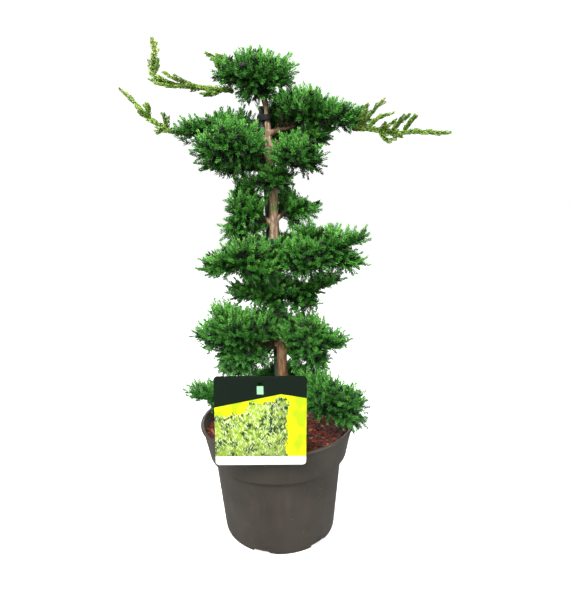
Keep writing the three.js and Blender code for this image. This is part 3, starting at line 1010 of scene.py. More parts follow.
def scatter_grower() -> Grower:
    """Makes the tree that strews small things over the upward faces of a bed.

    Returns:
        The tree.
    """
    grow = Grower("strew")
    things = grow.input("Things", "Collection")
    spacing = grow.input("Spacing", "Float")
    smallest = grow.input("Smallest", "Float")
    largest = grow.input("Largest", "Float")
    tilt = grow.input("Tilt", "Float")
    seed = grow.input("Seed", "Int")
    worn = grow.input("Material", "Material")
    bed = grow.entry.outputs[0]
    facing = grow.add("GeometryNodeInputNormal")
    height = grow.add("ShaderNodeSeparateXYZ", {}, {0: facing}).outputs[2]
    upward = grow.add("FunctionNodeCompare", {"operation": "GREATER_THAN"}, {0: height, 1: 0.4})
    inputs = {"Mesh": bed, "Selection": upward, "Distance Min": spacing, "Density Max": 90000.0, "Seed": seed}
    spots = grow.add("GeometryNodeDistributePointsOnFaces", {"distribute_method": "POISSON"}, inputs)
    times = {"operation": "MULTIPLY"}
    lean = [grow.add("ShaderNodeMath", times, {0: grow.chance(-1, 1, n), 1: tilt}) for n in (3, 4)]
    turn = grow.add("ShaderNodeCombineXYZ", {}, {0: lean[0], 1: lean[1], 2: grow.chance(0, math.tau, 5)})
    span = {"data_type": "FLOAT"}
    size = grow.add("FunctionNodeRandomValue", span, {2: smallest, 3: largest, "Seed": 6}).outputs[1]
    inputs = {4: 0, 5: CHIP_KINDS - 1, "Seed": 7}
    pick = grow.add("FunctionNodeRandomValue", {"data_type": "INT"}, inputs).outputs[2]
    strewn = grow.planted(spots, things, pick, turn, size)
    settings = {"data_type": "FLOAT", "domain": "INSTANCE"}
    shaded = grow.add("GeometryNodeStoreNamedAttribute", settings, {"Geometry": strewn, "Name": "shade"})
    grow.tree.links.new(grow.chance(0, 1, 8), shaded.inputs["Value"])
    floor = grow.add("GeometryNodeSetMaterial", {}, {"Geometry": bed, "Material": worn})
    grow.end(grow.realised(shaded, worn), floor)
    return grow


# ------------------------------------------------------------------------------------------------
# Foliage


class ShootForm(Enum):
    """A shoot's shape: its whorls, its leaves' length, width, and spread at foot and at tip, and its bend."""

    BUSHY = (5, 0.42, 0.13, 46.0, 14.0, 0.06)
    SLENDER = (5, 0.36, 0.12, 34.0, 9.0, -0.08)
    BENT = (5, 0.40, 0.13, 42.0, 12.0, 0.16)
    SPIRE = (5, 0.34, 0.14, 31.0, 12.0, 0.06)
    CROOKED_SPIRE = (5, 0.36, 0.14, 35.0, 13.0, -0.14)


@dataclass(frozen=True)
class LeafyShoot:
    """A short shoot of awl-shaped leaves in whorls of three, one unit long and standing along +Z."""

    form: ShootForm
    seed: int
    stem_top: float = 0.7
    stem_radius: float = 0.05
    leaf_depth: float = 0.055

    def build(self) -> bpy.types.Mesh:
        """Makes the shoot.

        Returns:
            The mesh, whose own number "along" runs from 0 in the heart to 1 at each tip.
        """
        whorls, leaf_length, leaf_width, foot_spread, tip_spread, bend = self.form.value
        draw = random.Random(self.seed)
        facets, along = Facets(), []

        def axis(height: float) -> Vector:
            """Returns the stem's centre at a height."""
            return Vector((bend * height**2, 0, height))

        for whorl in range(whorls):
            share = whorl / (whorls - 1)
            height = 0.02 + (self.stem_top - 0.04) * share
            for leaf in range(3):
                angle = math.tau * leaf / 3 + whorl * math.pi / 3 + draw.uniform(-0.25, 0.25)
                spread = foot_spread + (tip_spread - foot_spread) * share**1.3
                spread = math.radians(spread + draw.uniform(-6, 6))
                out = Vector((math.cos(angle), math.sin(angle), 0))
                way = (UP * math.cos(spread) + out * math.sin(spread)).normalized()
                side = way.cross(out).normalized() if share < 1 else UP.cross(out)
                length = leaf_length * draw.uniform(0.88, 1.1)
                root = axis(height) + out * self.stem_radius * 0.4
                belly = root + way * length * 0.42
                upper = way.cross(side).normalized() * self.leaf_depth
                half = side * leaf_width * 0.5
                heel, tip = root + upper * 0.3, root + way * length
                facets.vertices += [heel, belly + half - upper, belly - half - upper, tip]
                facets.faces += self._outward(facets.vertices, len(facets.vertices) - 4)
                along += [0.12, 0.5, 0.5, 1.0]
        base = len(facets.vertices)
        for step in range(3):
            angle = math.tau * step / 3
            facets.vertices.append(Vector((math.cos(angle), math.sin(angle), 0)) * self.stem_radius)
        facets.vertices.append(axis(self.stem_top))
        facets.faces += self._outward(facets.vertices, base)
        along += [0.0] * 4
        mesh = facets.mesh("leafy_shoot")
        mesh.attributes.new("along", "FLOAT", "POINT").data.foreach_set("value", along)
        return mesh

    @staticmethod
    def _outward(vertices: Sequence[Vector], start: int) -> list[tuple[int, ...]]:
        """Closes a tetrahedron.

        Args:
            vertices: The vertices so far.
            start: The number of its first one.

        Returns:
            Its four faces, each facing out.
        """
        a, b, c, d = vertices[start : start + 4]
        faces = [(0, 2, 1), (0, 1, 3), (1, 2, 3), (2, 0, 3)]
        if (b - a).cross(c - a).dot(d - a) < 0:
            faces = [face[::-1] for face in faces]
        return [tuple(start + corner for corner in face) for face in faces]


@dataclass
class Sprigs:
    """Where shoots sit and where twigs run, gathered before their meshes are made."""

    forms: int
    places: list[Vector] = field(default_factory=list)
    headings: list[Vector] = field(default_factory=list)
    sizes: list[float] = field(default_factory=list)
    shades: list[float] = field(default_factory=list)
    rolls: list[float] = field(default_factory=list)
    kinds: list[int] = field(default_factory=list)
    twigs: list[tuple[list[Vector], list[float]]] = field(default_factory=list)

    def shoot(self, place: Vector, heading: Vector, size: float, shade: float, draw: random.Random) -> None:
        """Adds a shoot.

        Args:
            place: Its foot.
            heading: Which way it points.
            size: Its length.
            shade: How bright it is, 0 to 1.
            draw: The source of chance.
        """
        self.places.append(place)
        self.headings.append(heading.normalized())
        self.sizes.append(size)
        self.shades.append(min(1.0, max(0.0, shade)))
        self.rolls.append(draw.uniform(0, math.tau))
        self.kinds.append(draw.randrange(self.forms))

    def points_mesh(self) -> bpy.types.Mesh:
        """Makes a mesh of the shoots' feet, each with its numbers.

        Returns:
            The mesh.
        """
        mesh = bpy.data.meshes.new("shoot_points")
        mesh.from_pydata(self.places, [], [])
        mesh.attributes.new("heading", "FLOAT_VECTOR", "POINT").data.foreach_set(
            "vector", np.array([tuple(h) for h in self.headings], np.float32).ravel()
        )
        for name, kind, values in (
            ("size", "FLOAT", self.sizes),
            ("shade", "FLOAT", self.shades),
            ("roll", "FLOAT", self.rolls),
            ("kind", "INT", self.kinds),
        ):
            mesh.attributes.new(name, kind, "POINT").data.foreach_set("value", values)
        return mesh

    def lines_mesh(self) -> bpy.types.Mesh:
        """Makes a mesh of the twigs' lines, with their thickness.

        Returns:
            The mesh.
        """
        vertices, edges, thick = [], [], []
        for line, radii in self.twigs:
            start = len(vertices)
            vertices += line
            thick += radii
            edges += [(start + i, start + i + 1) for i in range(len(line) - 1)]
        mesh = bpy.data.meshes.new("twig_lines")
        mesh.from_pydata(vertices, edges, [])
        mesh.attributes.new("thick", "FLOAT", "POINT").data.foreach_set("value", thick)
        return mesh


@dataclass(frozen=True)
class Plume:
    """How shoots stand along the leafy end of a twig.

    Attributes:
        reach: How far the leafy end goes back from the tip.
        pitch: The way from one shoot to the next.
        shoot: A shoot's length.
        spread: A side shoot's angle from the twig, in degrees.
        lift: How far side shoots turn up.
        inner_painted_shade: How much darker the innermost shoot is painted than the tip: painted shade inside
            the cloud.
    """

    reach: float = 0.0165
    pitch: float = 0.0027
    shoot: float = 0.0108
    spread: float = 46.0
    lift: float = 0.3
    inner_painted_shade: float = 0.42

    def grow(self, sprigs: Sprigs, path: Sequence[Vector], shade: float, draw: random.Random) -> None:
        """Sets shoots along the end of a path, paired left and right and lifted towards the light.

        Args:
            sprigs: What the shoots are added to.
            path: The twig's points, ending at its tip.
            shade: How bright it is, 0 to 1, from its growth and its painted light.
            draw: The source of chance.
        """
        line = evenly(path, max(4, int(length_of(path) / self.pitch)))
        ways = tangents(line)
        count = min(len(line) - 1, int(self.reach / self.pitch))
        for back in range(count):
            place, way = line[-1 - back], ways[-1 - back]
            share = back / max(1, count - 1)
            across = way.cross(UP)
            across = across.normalized() if across.length > 0.2 else way.orthogonal().normalized()
            rise = across.cross(way).normalized()
            if back == 0:
                heading, size = way, self.shoot * 1.05
            else:
                side = 1 if back % 2 else -1
                climb = math.radians(draw.uniform(-35, 75))
                out = across * side * math.cos(climb) + rise * math.sin(climb)
                angle = math.radians(self.spread * draw.uniform(0.7, 1.2) * (0.62 + 0.5 * share))
                raised = UP * self.lift * draw.uniform(0.3, 1.3)
                heading = way * math.cos(angle) + out * math.sin(angle) + raised
                size = self.shoot * draw.uniform(0.8, 1.12) * (0.8 + 0.5 * share * (1.3 - share))
            # Shoots further back along the plume are painted darker: painted shade inside the cloud.
            sprigs.shoot(place, heading, size, shade - self.inner_painted_shade * share + draw.uniform(-0.2, 0.2), draw)


@dataclass
class Limb:
    """One limb: how high it leaves the stem, where it ends, and the cloud of foliage that it bears."""

    height: float
    end: Vector
    vigour: float
    rise: float = 0.005
    root_radius: float = 0.003
    tip_radius: float = 0.0013

    def path(self, stem: "Stem", count: int) -> list[Vector]:
        """Returns the limb's axis from inside the stem to its end."""
        root = stem.centre(self.height)
        middle = root.lerp(self.end, 0.5) + UP * self.rise
        return smooth_path([root, middle, self.end], count)


@dataclass
class Stem:
    """The stem from deep in the compost to inside the crown.

    Each station holds the X and Y of its middle, its height and its radius.
    """

    stations: Sequence[tuple[float, float, float, float]] = (
        (0.0090, 0.000, 0.070, 0.0050),
        (0.0100, 0.001, 0.110, 0.0082),
        (0.0100, 0.000, 0.135, 0.0080),
        (0.0085, 0.000, 0.170, 0.0066),
        (0.0080, 0.000, 0.215, 0.0060),
        (0.0050, 0.000, 0.290, 0.0058),
        (0.0025, 0.000, 0.365, 0.0055),
        (0.0025, 0.000, 0.410, 0.0052),
        (-0.0010, 0.000, 0.465, 0.0042),
        (-0.0020, 0.000, 0.490, 0.0036),
        (-0.0028, 0.000, 0.501, 0.0022),
        (-0.0032, 0.000, 0.508, 0.0020),
        (-0.0040, 0.000, 0.514, 0.0034),
        (-0.0080, 0.001, 0.527, 0.0024),
        (-0.0110, 0.000, 0.552, 0.0014),
    )
    sides: int = 30
    ring_pitch: float = 0.0016

    def _at(self, height: float) -> np.ndarray:
        """Returns X, Y and the radius at a height."""
        table = np.array(self.stations)
        return np.array([np.interp(height, table[:, 2], table[:, column]) for column in (0, 1, 3)])

    def centre(self, height: float) -> Vector:
        """Returns the stem's centre at a height."""
        x, y, _ = self._at(height)
        return Vector((x, y, height))

    def radius(self, height: float) -> float:
        """Returns the stem's radius at a height."""
        return float(self._at(height)[2])

    def _relief(self, place: Vector) -> float:
        """Shapes the bark: upright strips and plates, and low swellings.

        Args:
            place: A point on the stem.

        Returns:
            How far it stands out.
        """
        strips = noise.noise(Vector((place.x * 900, place.y * 900, place.z * 90)))
        plates = noise.noise(Vector((place.x * 260, place.y * 260, place.z * 60)) + Vector((7, 3, 1)))
        swell = noise.noise(place * 55)
        return 0.00032 * strips + 0.00035 * max(0.0, plates) + 0.0004 * swell

    def build(self, limbs: Sequence[Limb]) -> bpy.types.Mesh:
        """Returns the stem and its limbs as one mesh.

        Args:
            limbs: The limbs, each with a flared root.

        Returns:
            The mesh.
        """
        low, high = self.stations[0][2], self.stations[-1][2]
        heights = np.linspace(low, high, int((high - low) / self.ring_pitch))
        facets = Facets()
        middle = [self.centre(height) for height in heights]
        facets.tube(middle, [self.radius(height) for height in heights], self.sides, self._relief)
        for limb in limbs:
            path = limb.path(self, 30)
            root = min(limb.root_radius, 0.7 * self.radius(limb.height))
            shares = np.linspace(0, 1, len(path))
            radii = [root + (limb.tip_radius - root) * t + root * 0.7 * math.exp(-9 * t) for t in shares]
            facets.tube(path, radii, 12, lambda place: 0.35 * self._relief(place))
        return facets.mesh("stem_and_limbs", 60)


@dataclass
class FoliageCloud:
    """A cloud of plumes that fills the space of one CAD node.

    Attributes:
        node: The CAD node.
        limb: The limb that bears the cloud.
        seed: The seed of its chance.
        forms: How many forms of shoot it picks from.
        spacing: The least way between two plumes' tips.
        tries: How often a tip is tried for each square of that spacing.
        inner_share: The share of plumes that have a second one behind them.
        tuft_pitch: The way between the tufts inside, painted near black as painted shade.
        tuft_depth: How deep inside a tuft has to stand.
        tuft: A tuft's length.
        twig: The radius at the limb of a plume's twig.
        inner_twig: The same for the second plume behind.
        plume: How the shoots stand.
    """

    node: str
    limb: Limb
    seed: int
    forms: int = 6
    spacing: float = 0.0076
    tries: int = 9
    inner_share: float = 0.35
    tuft_pitch: float = 0.0088
    tuft_depth: float = 0.0055
    tuft: float = 0.018
    twig: float = 0.0007
    inner_twig: float = 0.0006
    plume: Plume = Plume()

    def _painted_shade_tufts(self, sprigs: Sprigs, draw: random.Random) -> None:
        """Fills the cloud's inside with large tufts, painted near black as painted shade.

        Args:
            sprigs: What they are added to.
            draw: The source of chance.
        """
        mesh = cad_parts[self.node].data
        tree = BVHTree.FromPolygons([v.co for v in mesh.vertices], [p.vertices for p in mesh.polygons])
        low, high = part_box(self.node)
        span = high - low
        for _ in range(int(span.x * span.y * span.z / self.tuft_pitch**3)):
            place = Vector([draw.uniform(a, b) for a, b in zip(low, high)])
            nearest, normal, _, depth = tree.find_nearest(place)
            roof, roof_normal, _, _ = tree.ray_cast(place, UP)
            enclosed = roof is not None and roof_normal.z > 0 and (place - nearest).dot(normal) < 0
            if enclosed and depth > self.tuft_depth:
                heading = Vector([draw.uniform(-1, 1) for _ in range(3)]) + UP * 0.4
                # Shade 0 paints the tuft in the shadow colour: painted shade inside the cloud.
                sprigs.shoot(place - heading.normalized() * self.tuft * 0.4, heading, self.tuft, 0.0, draw)

    def _tips(self, draw: random.Random) -> list[tuple[Vector, Vector]]:
        """Spreads points evenly over the cloud's outside.

        Args:
            draw: The source of chance.

        Returns:
            Each point and its normal.
        """
        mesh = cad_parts[self.node].data
        mesh.calc_loop_triangles()
        corners = [[mesh.vertices[i].co for i in t.vertices] for t in mesh.loop_triangles]
        areas = [t.area for t in mesh.loop_triangles]
        tries = int(sum(areas) / self.spacing**2 * self.tries)
        found: list[tuple[Vector, Vector]] = []
        for number in draw.choices(range(len(corners)), areas, k=tries):
            a, b, c = corners[number]
            s, t = draw.random(), draw.random()
            if s + t > 1:
                s, t = 1 - s, 1 - t
            place = a + (b - a) * s + (c - a) * t
            if all((place - other).length > self.spacing for other, _ in found):
                found.append((place, mesh.loop_triangles[number].normal.copy()))
        return found

    def _twig(
        self, sprigs: Sprigs, limb: Sequence[Vector], tip: Vector, heading: Vector, thick: float
    ) -> list[Vector]:
        """Adds a twig.

        Args:
            sprigs: What the twig is added to.
            limb: The axis of the limb that it leaves.
            tip: Where it ends.
            heading: Which way it ends.
            thick: Its radius at the limb.

        Returns:
            Its path.
        """
        nearest = min(range(len(limb)), key=lambda i: (limb[i] - tip).length)
        root = limb[max(0, nearest - 3)]
        along = (limb[min(len(limb) - 1, nearest)] - limb[max(0, nearest - 4)]).normalized()
        reach = (tip - root).length
        first = root + along * reach * 0.3
        second = tip - heading * reach * 0.42
        path = []
        for step in range(7):
            t = step / 6
            weights = ((1 - t) ** 3, 3 * t * (1 - t) ** 2, 3 * t**2 * (1 - t), t**3)
            path.append(sum((p * w for p, w in zip((root, first, second, tip), weights)), Vector()))
        sprigs.twigs.append((path, [thick * (1 - 0.62 * i / 6) for i in range(7)]))
        return path

    def build(self, stem: Stem) -> Sprigs:
        """Grows the cloud on its limb.

        Args:
            stem: The stem that the limb leaves.

        Returns:
            Its shoots and twigs.
        """
        draw = random.Random(self.seed)
        sprigs = Sprigs(self.forms)
        limb = self.limb.path(stem, 16)
        self._painted_shade_tufts(sprigs, draw)
        low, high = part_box(self.node)
        for tip, normal in self._tips(draw):
            outwards = (tip - (low + high) / 2).normalized()
            heading = normal * 0.55 + outwards * 0.5 + UP * (0.42 if normal.z > -0.35 else 0.32)
            heading = (heading + Vector([draw.uniform(-0.25, 0.25) for _ in range(3)])).normalized()
            height = (tip.z - low.z) / (high.z - low.z)
            # Partly painted light: shoots high in the cloud and facing up are painted brighter, those facing
            # down darker. The limb's vigour and chance add real variation.
            shade = 0.3 + 0.4 * self.limb.vigour + 0.22 * height + 0.24 * normal.z + draw.uniform(-0.12, 0.12)
            end = tip - heading * (0.0065 + draw.uniform(-0.0045, 0.004))
            path = self._twig(sprigs, limb, end, heading, self.twig)
            self.plume.grow(sprigs, path, shade, draw)
            if draw.random() < self.inner_share:
                inner = end.lerp(limb[-1].lerp((low + high) / 2, 0.5), draw.uniform(0.3, 0.5))
                path = self._twig(sprigs, limb, inner, heading, self.inner_twig)
                # The plume behind is painted 0.3 darker: painted shade deeper in the cloud.
                self.plume.grow(sprigs, path, shade - 0.3, draw)
        return sprigs


@dataclass
class LongShoot:
    """A long leader of new growth with its side shoots, leafy all along.

    Attributes:
        node: The CAD node.
        main: The points of its axis, in millimetres.
        sides: The points of each side shoot's axis, in millimetres.
        seed: The seed of its chance.
        forms: How many forms of small shoot it picks from.
        pitch: The way from one whorl of small shoots to the next.
        shoot: A small shoot's length.
        overrun: The share of that length that a small shoot may pass the tip by.
        stem: The radius of the axis at its foot.
    """

    node: str
    main: Sequence[tuple[float, float, float]]
    sides: Sequence[Sequence[tuple[float, float, float]]]
    seed: int
    forms: int = 4
    pitch: float = 0.0056
    shoot: float = 0.0158
    overrun: float = 0.25
    stem: float = 0.0012

    def _clothe(
        self, sprigs: Sprigs, points: Sequence[tuple[float, float, float]], size: float, draw: random.Random
    ) -> None:
        """Adds one axis and the small shoots along it.

        Args:
            sprigs: What they are added to.
            points: The axis, in millimetres.
            size: The length of its small shoots.
            draw: The source of chance.
        """
        rough = smooth_path([Vector(p) * MM for p in points], 40)
        length = length_of(rough)
        path = evenly(rough, max(5, int(length / self.pitch)))
        ways = tangents(path)
        last = len(path) - 1
        for i, (place, way) in enumerate(zip(path[:-1], ways)):
            share = i / last
            across = way.cross(UP)
            across = across.normalized() if across.length > 0.3 else way.orthogonal().normalized()
            shade = 0.35 + 0.4 * share + draw.uniform(-0.32, 0.32)
            room = (last - i) * length / last + size * self.overrun
            sprigs.shoot(place, way + across * draw.uniform(-0.2, 0.2), min(size * 0.85, room), shade, draw)
            for side in (1, -1):
                if draw.random() < 0.95 - 0.25 * share:
                    out = across * side + across.cross(way) * draw.uniform(-0.5, 0.9)
                    angle = math.radians(draw.uniform(16, 34))
                    heading = way * math.cos(angle) + out.normalized() * math.sin(angle)
                    reach = size * (1.1 - 0.35 * share) * draw.uniform(0.7, 1.1)
                    sprigs.shoot(place, heading, min(reach, room), shade, draw)
        sprigs.twigs.append((path, [self.stem * (1 - 0.6 * i / last) for i in range(last + 1)]))

    def build(self) -> Sprigs:
        """Grows the long shoot and its side shoots.

        Returns:
            Their small shoots and stems.
        """
        draw = random.Random(self.seed)
        sprigs = Sprigs(self.forms)
        self._clothe(sprigs, self.main, self.shoot, draw)
        for side in self.sides:
            self._clothe(sprigs, side, self.shoot * 0.85, draw)
        return sprigs


# ------------------------------------------------------------------------------------------------
# Pot, mulch, support and label


def piercing_grower() -> Grower:
    """Makes the tree that cuts the same shape out of a piece at even turns round its upright axis.

    Returns:
        The tree.
    """
    grow = Grower("pierce")
    cutter = grow.input("Cutter", "Object")
    count = grow.input("Count", "Int")
    first = grow.input("First turn", "Float")
    worn = grow.input("Material", "Material")
    line = grow.add("GeometryNodeMeshLine", {}, {"Count": count, "Offset": (0, 0, 0)})
    number = grow.add("GeometryNodeInputIndex")
    share = grow.add("ShaderNodeMath", {"operation": "DIVIDE"}, {0: number, 1: count})
    turn = grow.add("ShaderNodeMath", {"operation": "MULTIPLY_ADD"}, {0: share, 1: math.tau, 2: first})
    spin = grow.add("ShaderNodeCombineXYZ", {}, {2: turn})
    shape = grow.add("GeometryNodeObjectInfo", {}, {"Object": cutter}).outputs["Geometry"]
    inputs = {"Points": line, "Instance": shape, "Rotation": spin}
    ring = grow.add("GeometryNodeInstanceOnPoints", {}, inputs)
    tools = grow.add("GeometryNodeRealizeInstances", {}, {0: ring})
    inputs = {"Mesh 1": grow.entry.outputs[0], "Mesh 2": tools}
    cut = grow.add("GeometryNodeMeshBoolean", {"operation": "DIFFERENCE", "solver": "EXACT"}, inputs)
    grow.end(grow.realised(cut, worn))
    return grow


@dataclass
class NurseryPot:
    """A tapered pot under a tall collar with a rolled rim, its foot notched and its floor drained.

    The profile runs from the middle of the underside round to the middle of the floor, as radius, height and
    rounding in millimetres.
    """

    finish: PotPlastic
    profile: Sequence[tuple[float, float, float]] = (
        (0, 6, 0),
        (62, 6, 0.5),
        (62, 0, 0.5),
        (66.5, 0, 1.0),
        (68.8, 2.2, 1.4),
        (69.5, 5, 1.4),
        (79, 101, 0.7),
        (84, 101, 0.5),
        (85, 102, 0.7),
        (92.6, 138, 1.5),
        (95, 139.2, 0.8),
        (95, 141.2, 0.8),
        (93.6, 142, 0.8),
        (91.6, 142, 0.8),
        (90.8, 140.6, 0.8),
        (83.2, 102.8, 1.2),
        (77.2, 102.8, 1.2),
        (68, 8.2, 1.0),
        (0, 8.2, 0),
    )
    segments: int = 192
    notches: int = 6
    first_notch: float = -110.0
    notch_outline: Sequence[tuple[float, float]] = (
        (-10.4, -1),
        (-10, 4.4),
        (-9.4, 5),
        (8.6, 5),
        (10, 4.3),
        (11.4, 2.8),
        (16.5, 2.5),
        (18.5, -1),
    )
    notch_depth: tuple[float, float] = (56.0, 78.0)
    holes: int = 8
    hole_radius: float = 4.5
    hole_ring: float = 42.0

    def _rounded(self) -> list[tuple[float, float]]:
        """Rounds the profile's corners.

        Returns:
            The profile in metres.
        """
        line = [Vector(p[:2]) for p in self.profile]
        points = [line[0]]
        for before, corner, after, (_, _, rounding) in zip(line, line[1:], line[2:], self.profile[1:]):
            back, on = (before - corner).normalized() * rounding, (after - corner).normalized() * rounding
            for step in range(4):
                t = step / 3
                points.append(corner + back * (1 - t) ** 2 + on * t**2)
        points.append(line[-1])
        return [(x * MM, z * MM) for x, z in points]

    def _turned(self) -> bpy.types.Mesh:
        """Turns the profile into the pot, before its notches and holes are cut.

        Returns:
            The mesh.
        """
        facets = Facets()
        profile = self._rounded()
        facets.vertices += [Vector((0, 0, profile[0][1])), Vector((0, 0, profile[-1][1]))]
        rings = profile[1:-1]
        for radius, height in rings:
            facets.ring(UP * height, RIGHT, BACK, self.segments, lambda _: radius)
        for number in range(len(rings) - 1):
            facets.bridge(2 + number * self.segments, 2 + (number + 1) * self.segments, self.segments)
        last = 2 + (len(rings) - 1) * self.segments
        for i in range(self.segments):
            after = (i + 1) % self.segments
            facets.faces += [(0, 2 + after, 2 + i), (1, last + i, last + after)]
        return facets.mesh("turned_pot")

    def _cutter(self, outline: Sequence[tuple[float, float]], near: float, far: float) -> bpy.types.Object:
        """Makes a prism along +X to cut with, sized in millimetres.

        Args:
            outline: Its outline, on Y and Z.
            near: Where it starts.
            far: Where it ends.

        Returns:
            The prism.
        """
        facets = Facets()
        facets.vertices = [Vector((x, y, z)) * MM for x in (near, far) for y, z in outline]
        count = len(outline)
        facets.bridge(count, 0, count)
        facets.faces += [tuple(range(count)), tuple(range(2 * count - 1, count - 1, -1))]
        return bpy.data.objects.new("cutter", facets.mesh("cutter"))

    def build(self) -> bpy.types.Object:
        """Makes the pot and cuts its notches and holes.

        Returns:
            The finished pot.
        """
        material = self.finish.build()
        pierce = piercing_grower()
        notch = self._cutter(self.notch_outline, *self.notch_depth)
        values = {"Cutter": notch, "Count": self.notches, "First turn": math.radians(self.first_notch)}
        mesh = pierce.grow(self._turned(), {**values, "Material": material})
        drill = Facets()
        drill.tube([Vector((self.hole_ring, 0, z)) * MM for z in (2, 7, 12)], [self.hole_radius * MM] * 3, 24)
        hole = bpy.data.objects.new("drill", drill.mesh("drill"))
        values = {"Cutter": hole, "Count": self.holes, "First turn": math.pi / self.holes}
        mesh = pierce.grow(mesh, {**values, "Material": material})
        soften(mesh, 38)
        return show("pot", dress(mesh, material), ["nursery_pot"])


@dataclass
class MulchBed:
    """A bed of bark mulch: an uneven floor of crumbs strewn with chips and splinters."""

    finish: MulchBark
    edge: float = 0.0868
    top: float = 0.1282
    foot: float = 0.1172
    rings: int = 44
    segments: int = 132
    spacing: float = 0.0034
    smallest: float = 0.0045
    largest: float = 0.0105
    tilt: float = 0.5
    seed: int = 61

    def _height(self, x: float, y: float) -> float:
        """Shapes the top of the bed.

        Args:
            x: The place on X.
            y: The place on Y.

        Returns:
            The height there.
        """
        place = Vector((x, y, 0))
        hump = noise.noise(place * 22) * 0.0022
        crumbs = noise.noise(place * 190 + Vector((3, 1, 8))) * 0.0011 + noise.noise(place * 420) * 0.0006
        return self.top + hump + crumbs

    def _bed(self) -> bpy.types.Mesh:
        """Makes the closed bed that the chips lie on.

        Returns:
            The mesh.
        """
        facets = Facets(vertices=[Vector((0, 0, self._height(0, 0)))])
        for number in range(1, self.rings + 1):
            radius = self.edge * number / self.rings
            for i in range(self.segments):
                angle = math.tau * i / self.segments
                x, y = radius * math.cos(angle), radius * math.sin(angle)
                facets.vertices.append(Vector((x, y, self._height(x, y))))
        rim = facets.vertices[-self.segments :]
        facets.vertices += [Vector((v.x * 0.97, v.y * 0.97, self.foot)) for v in rim]
        for i in range(self.segments):
            facets.faces.append((0, 1 + i, 1 + (i + 1) % self.segments))
        for number in range(self.rings):
            facets.bridge(1 + (number + 1) * self.segments, 1 + number * self.segments, self.segments)
        last = 1 + self.rings * self.segments
        facets.faces.append(tuple(range(last + self.segments - 1, last - 1, -1)))
        return facets.mesh("mulch_bed", 80)

    def _chip(self, draw: random.Random) -> bpy.types.Mesh:
        """Makes one chip, one unit long, as a bent splintered prism.

        Args:
            draw: The source of chance.

        Returns:
            The mesh.
        """
        width, thick = draw.uniform(0.16, 0.5), draw.uniform(0.09, 0.2)
        facets = Facets()
        outline = [(0.5, 0.1), (0.2, 0.5), (-0.34, 0.42), (-0.5, -0.08), (-0.22, -0.5), (0.36, -0.42)]
        for level in (-0.5, 0.5):
            for x, y in outline:
                skew = Vector([draw.uniform(-0.09, 0.09) for _ in range(3)])
                bend = 0.16 * x * x * (1 if width < 0.3 else -1)
                place = Vector((x * (1 - 0.12 * level), y * width * (1 - 0.25 * level), level * thick + bend))
                facets.vertices.append(place + Vector((skew.x, skew.y * width, skew.z * thick)))
        facets.bridge(0, 6, 6)
        facets.faces += [tuple(range(5, -1, -1)), tuple(range(6, 12))]
        return facets.mesh("chip")

    def build(self) -> bpy.types.Object:
        """Makes the bed and strews it.

        Returns:
            The finished mulch.
        """
        draw = random.Random(self.seed)
        material = self.finish.build()
        shelf = gather("chip", [self._chip(draw) for _ in range(CHIP_KINDS)])
        values = {"Things": shelf, "Spacing": self.spacing, "Tilt": self.tilt, "Seed": self.seed}
        values |= {"Smallest": self.smallest, "Largest": self.largest, "Material": material}
        mesh = scatter_grower().grow(self._bed(), values)
        return show("mulch", dress(mesh, material), ["bark_mulch"])


@dataclass
class SupportCane:
    """The thin cane that the stem is tied to."""

    finish: DyedCane
    foot: Vector = Vector((0.0064, 0.0130, 0.0300))
    top: Vector = Vector((-0.0085, 0.0070, 0.5125))
    radius: float = 0.0032
    knots: int = 3
    knot_swell: float = 0.0005
    knot_reach: float = 0.0016
    rub: float = 0.0006
    sides: int = 28
    rings: int = 240

    def centre(self, height: float) -> Vector:
        """Returns the cane's centre at a height."""
        return self.foot.lerp(self.top, (height - self.foot.z) / (self.top.z - self.foot.z))

    def _radius(self, height: float) -> float:
        """Swells the cane at its knots and rubs its cut end round.

        Args:
            height: A height.

        Returns:
            The radius there.
        """
        span = self.top.z - self.foot.z
        swell = 0.0
        for knot in range(self.knots):
            away = (height - self.foot.z - span * (knot + 0.9) / self.knots) / self.knot_reach
            swell += self.knot_swell * (math.exp(-(away**2)) - 0.7 * math.exp(-((away * 3) ** 2)))
        rubbed = 0.0005 * max(0.0, 1 - (self.top.z - height) / self.rub)
        return self.radius + swell - rubbed

    def build(self) -> bpy.types.Object:
        """Makes the cane.

        Returns:
            The finished cane.
        """
        ladder = np.linspace(self.foot.z, self.top.z, self.rings)
        heights = sorted({*ladder, self.top.z - self.rub, self.top.z - self.rub / 2})
        facets = Facets()
        path = [self.centre(h) for h in heights]
        facets.tube(path, [self._radius(h) for h in heights], self.sides)
        mesh = dress(facets.mesh("cane", 50), self.finish.build())
        return show("cane", mesh, ["bamboo_cane"])


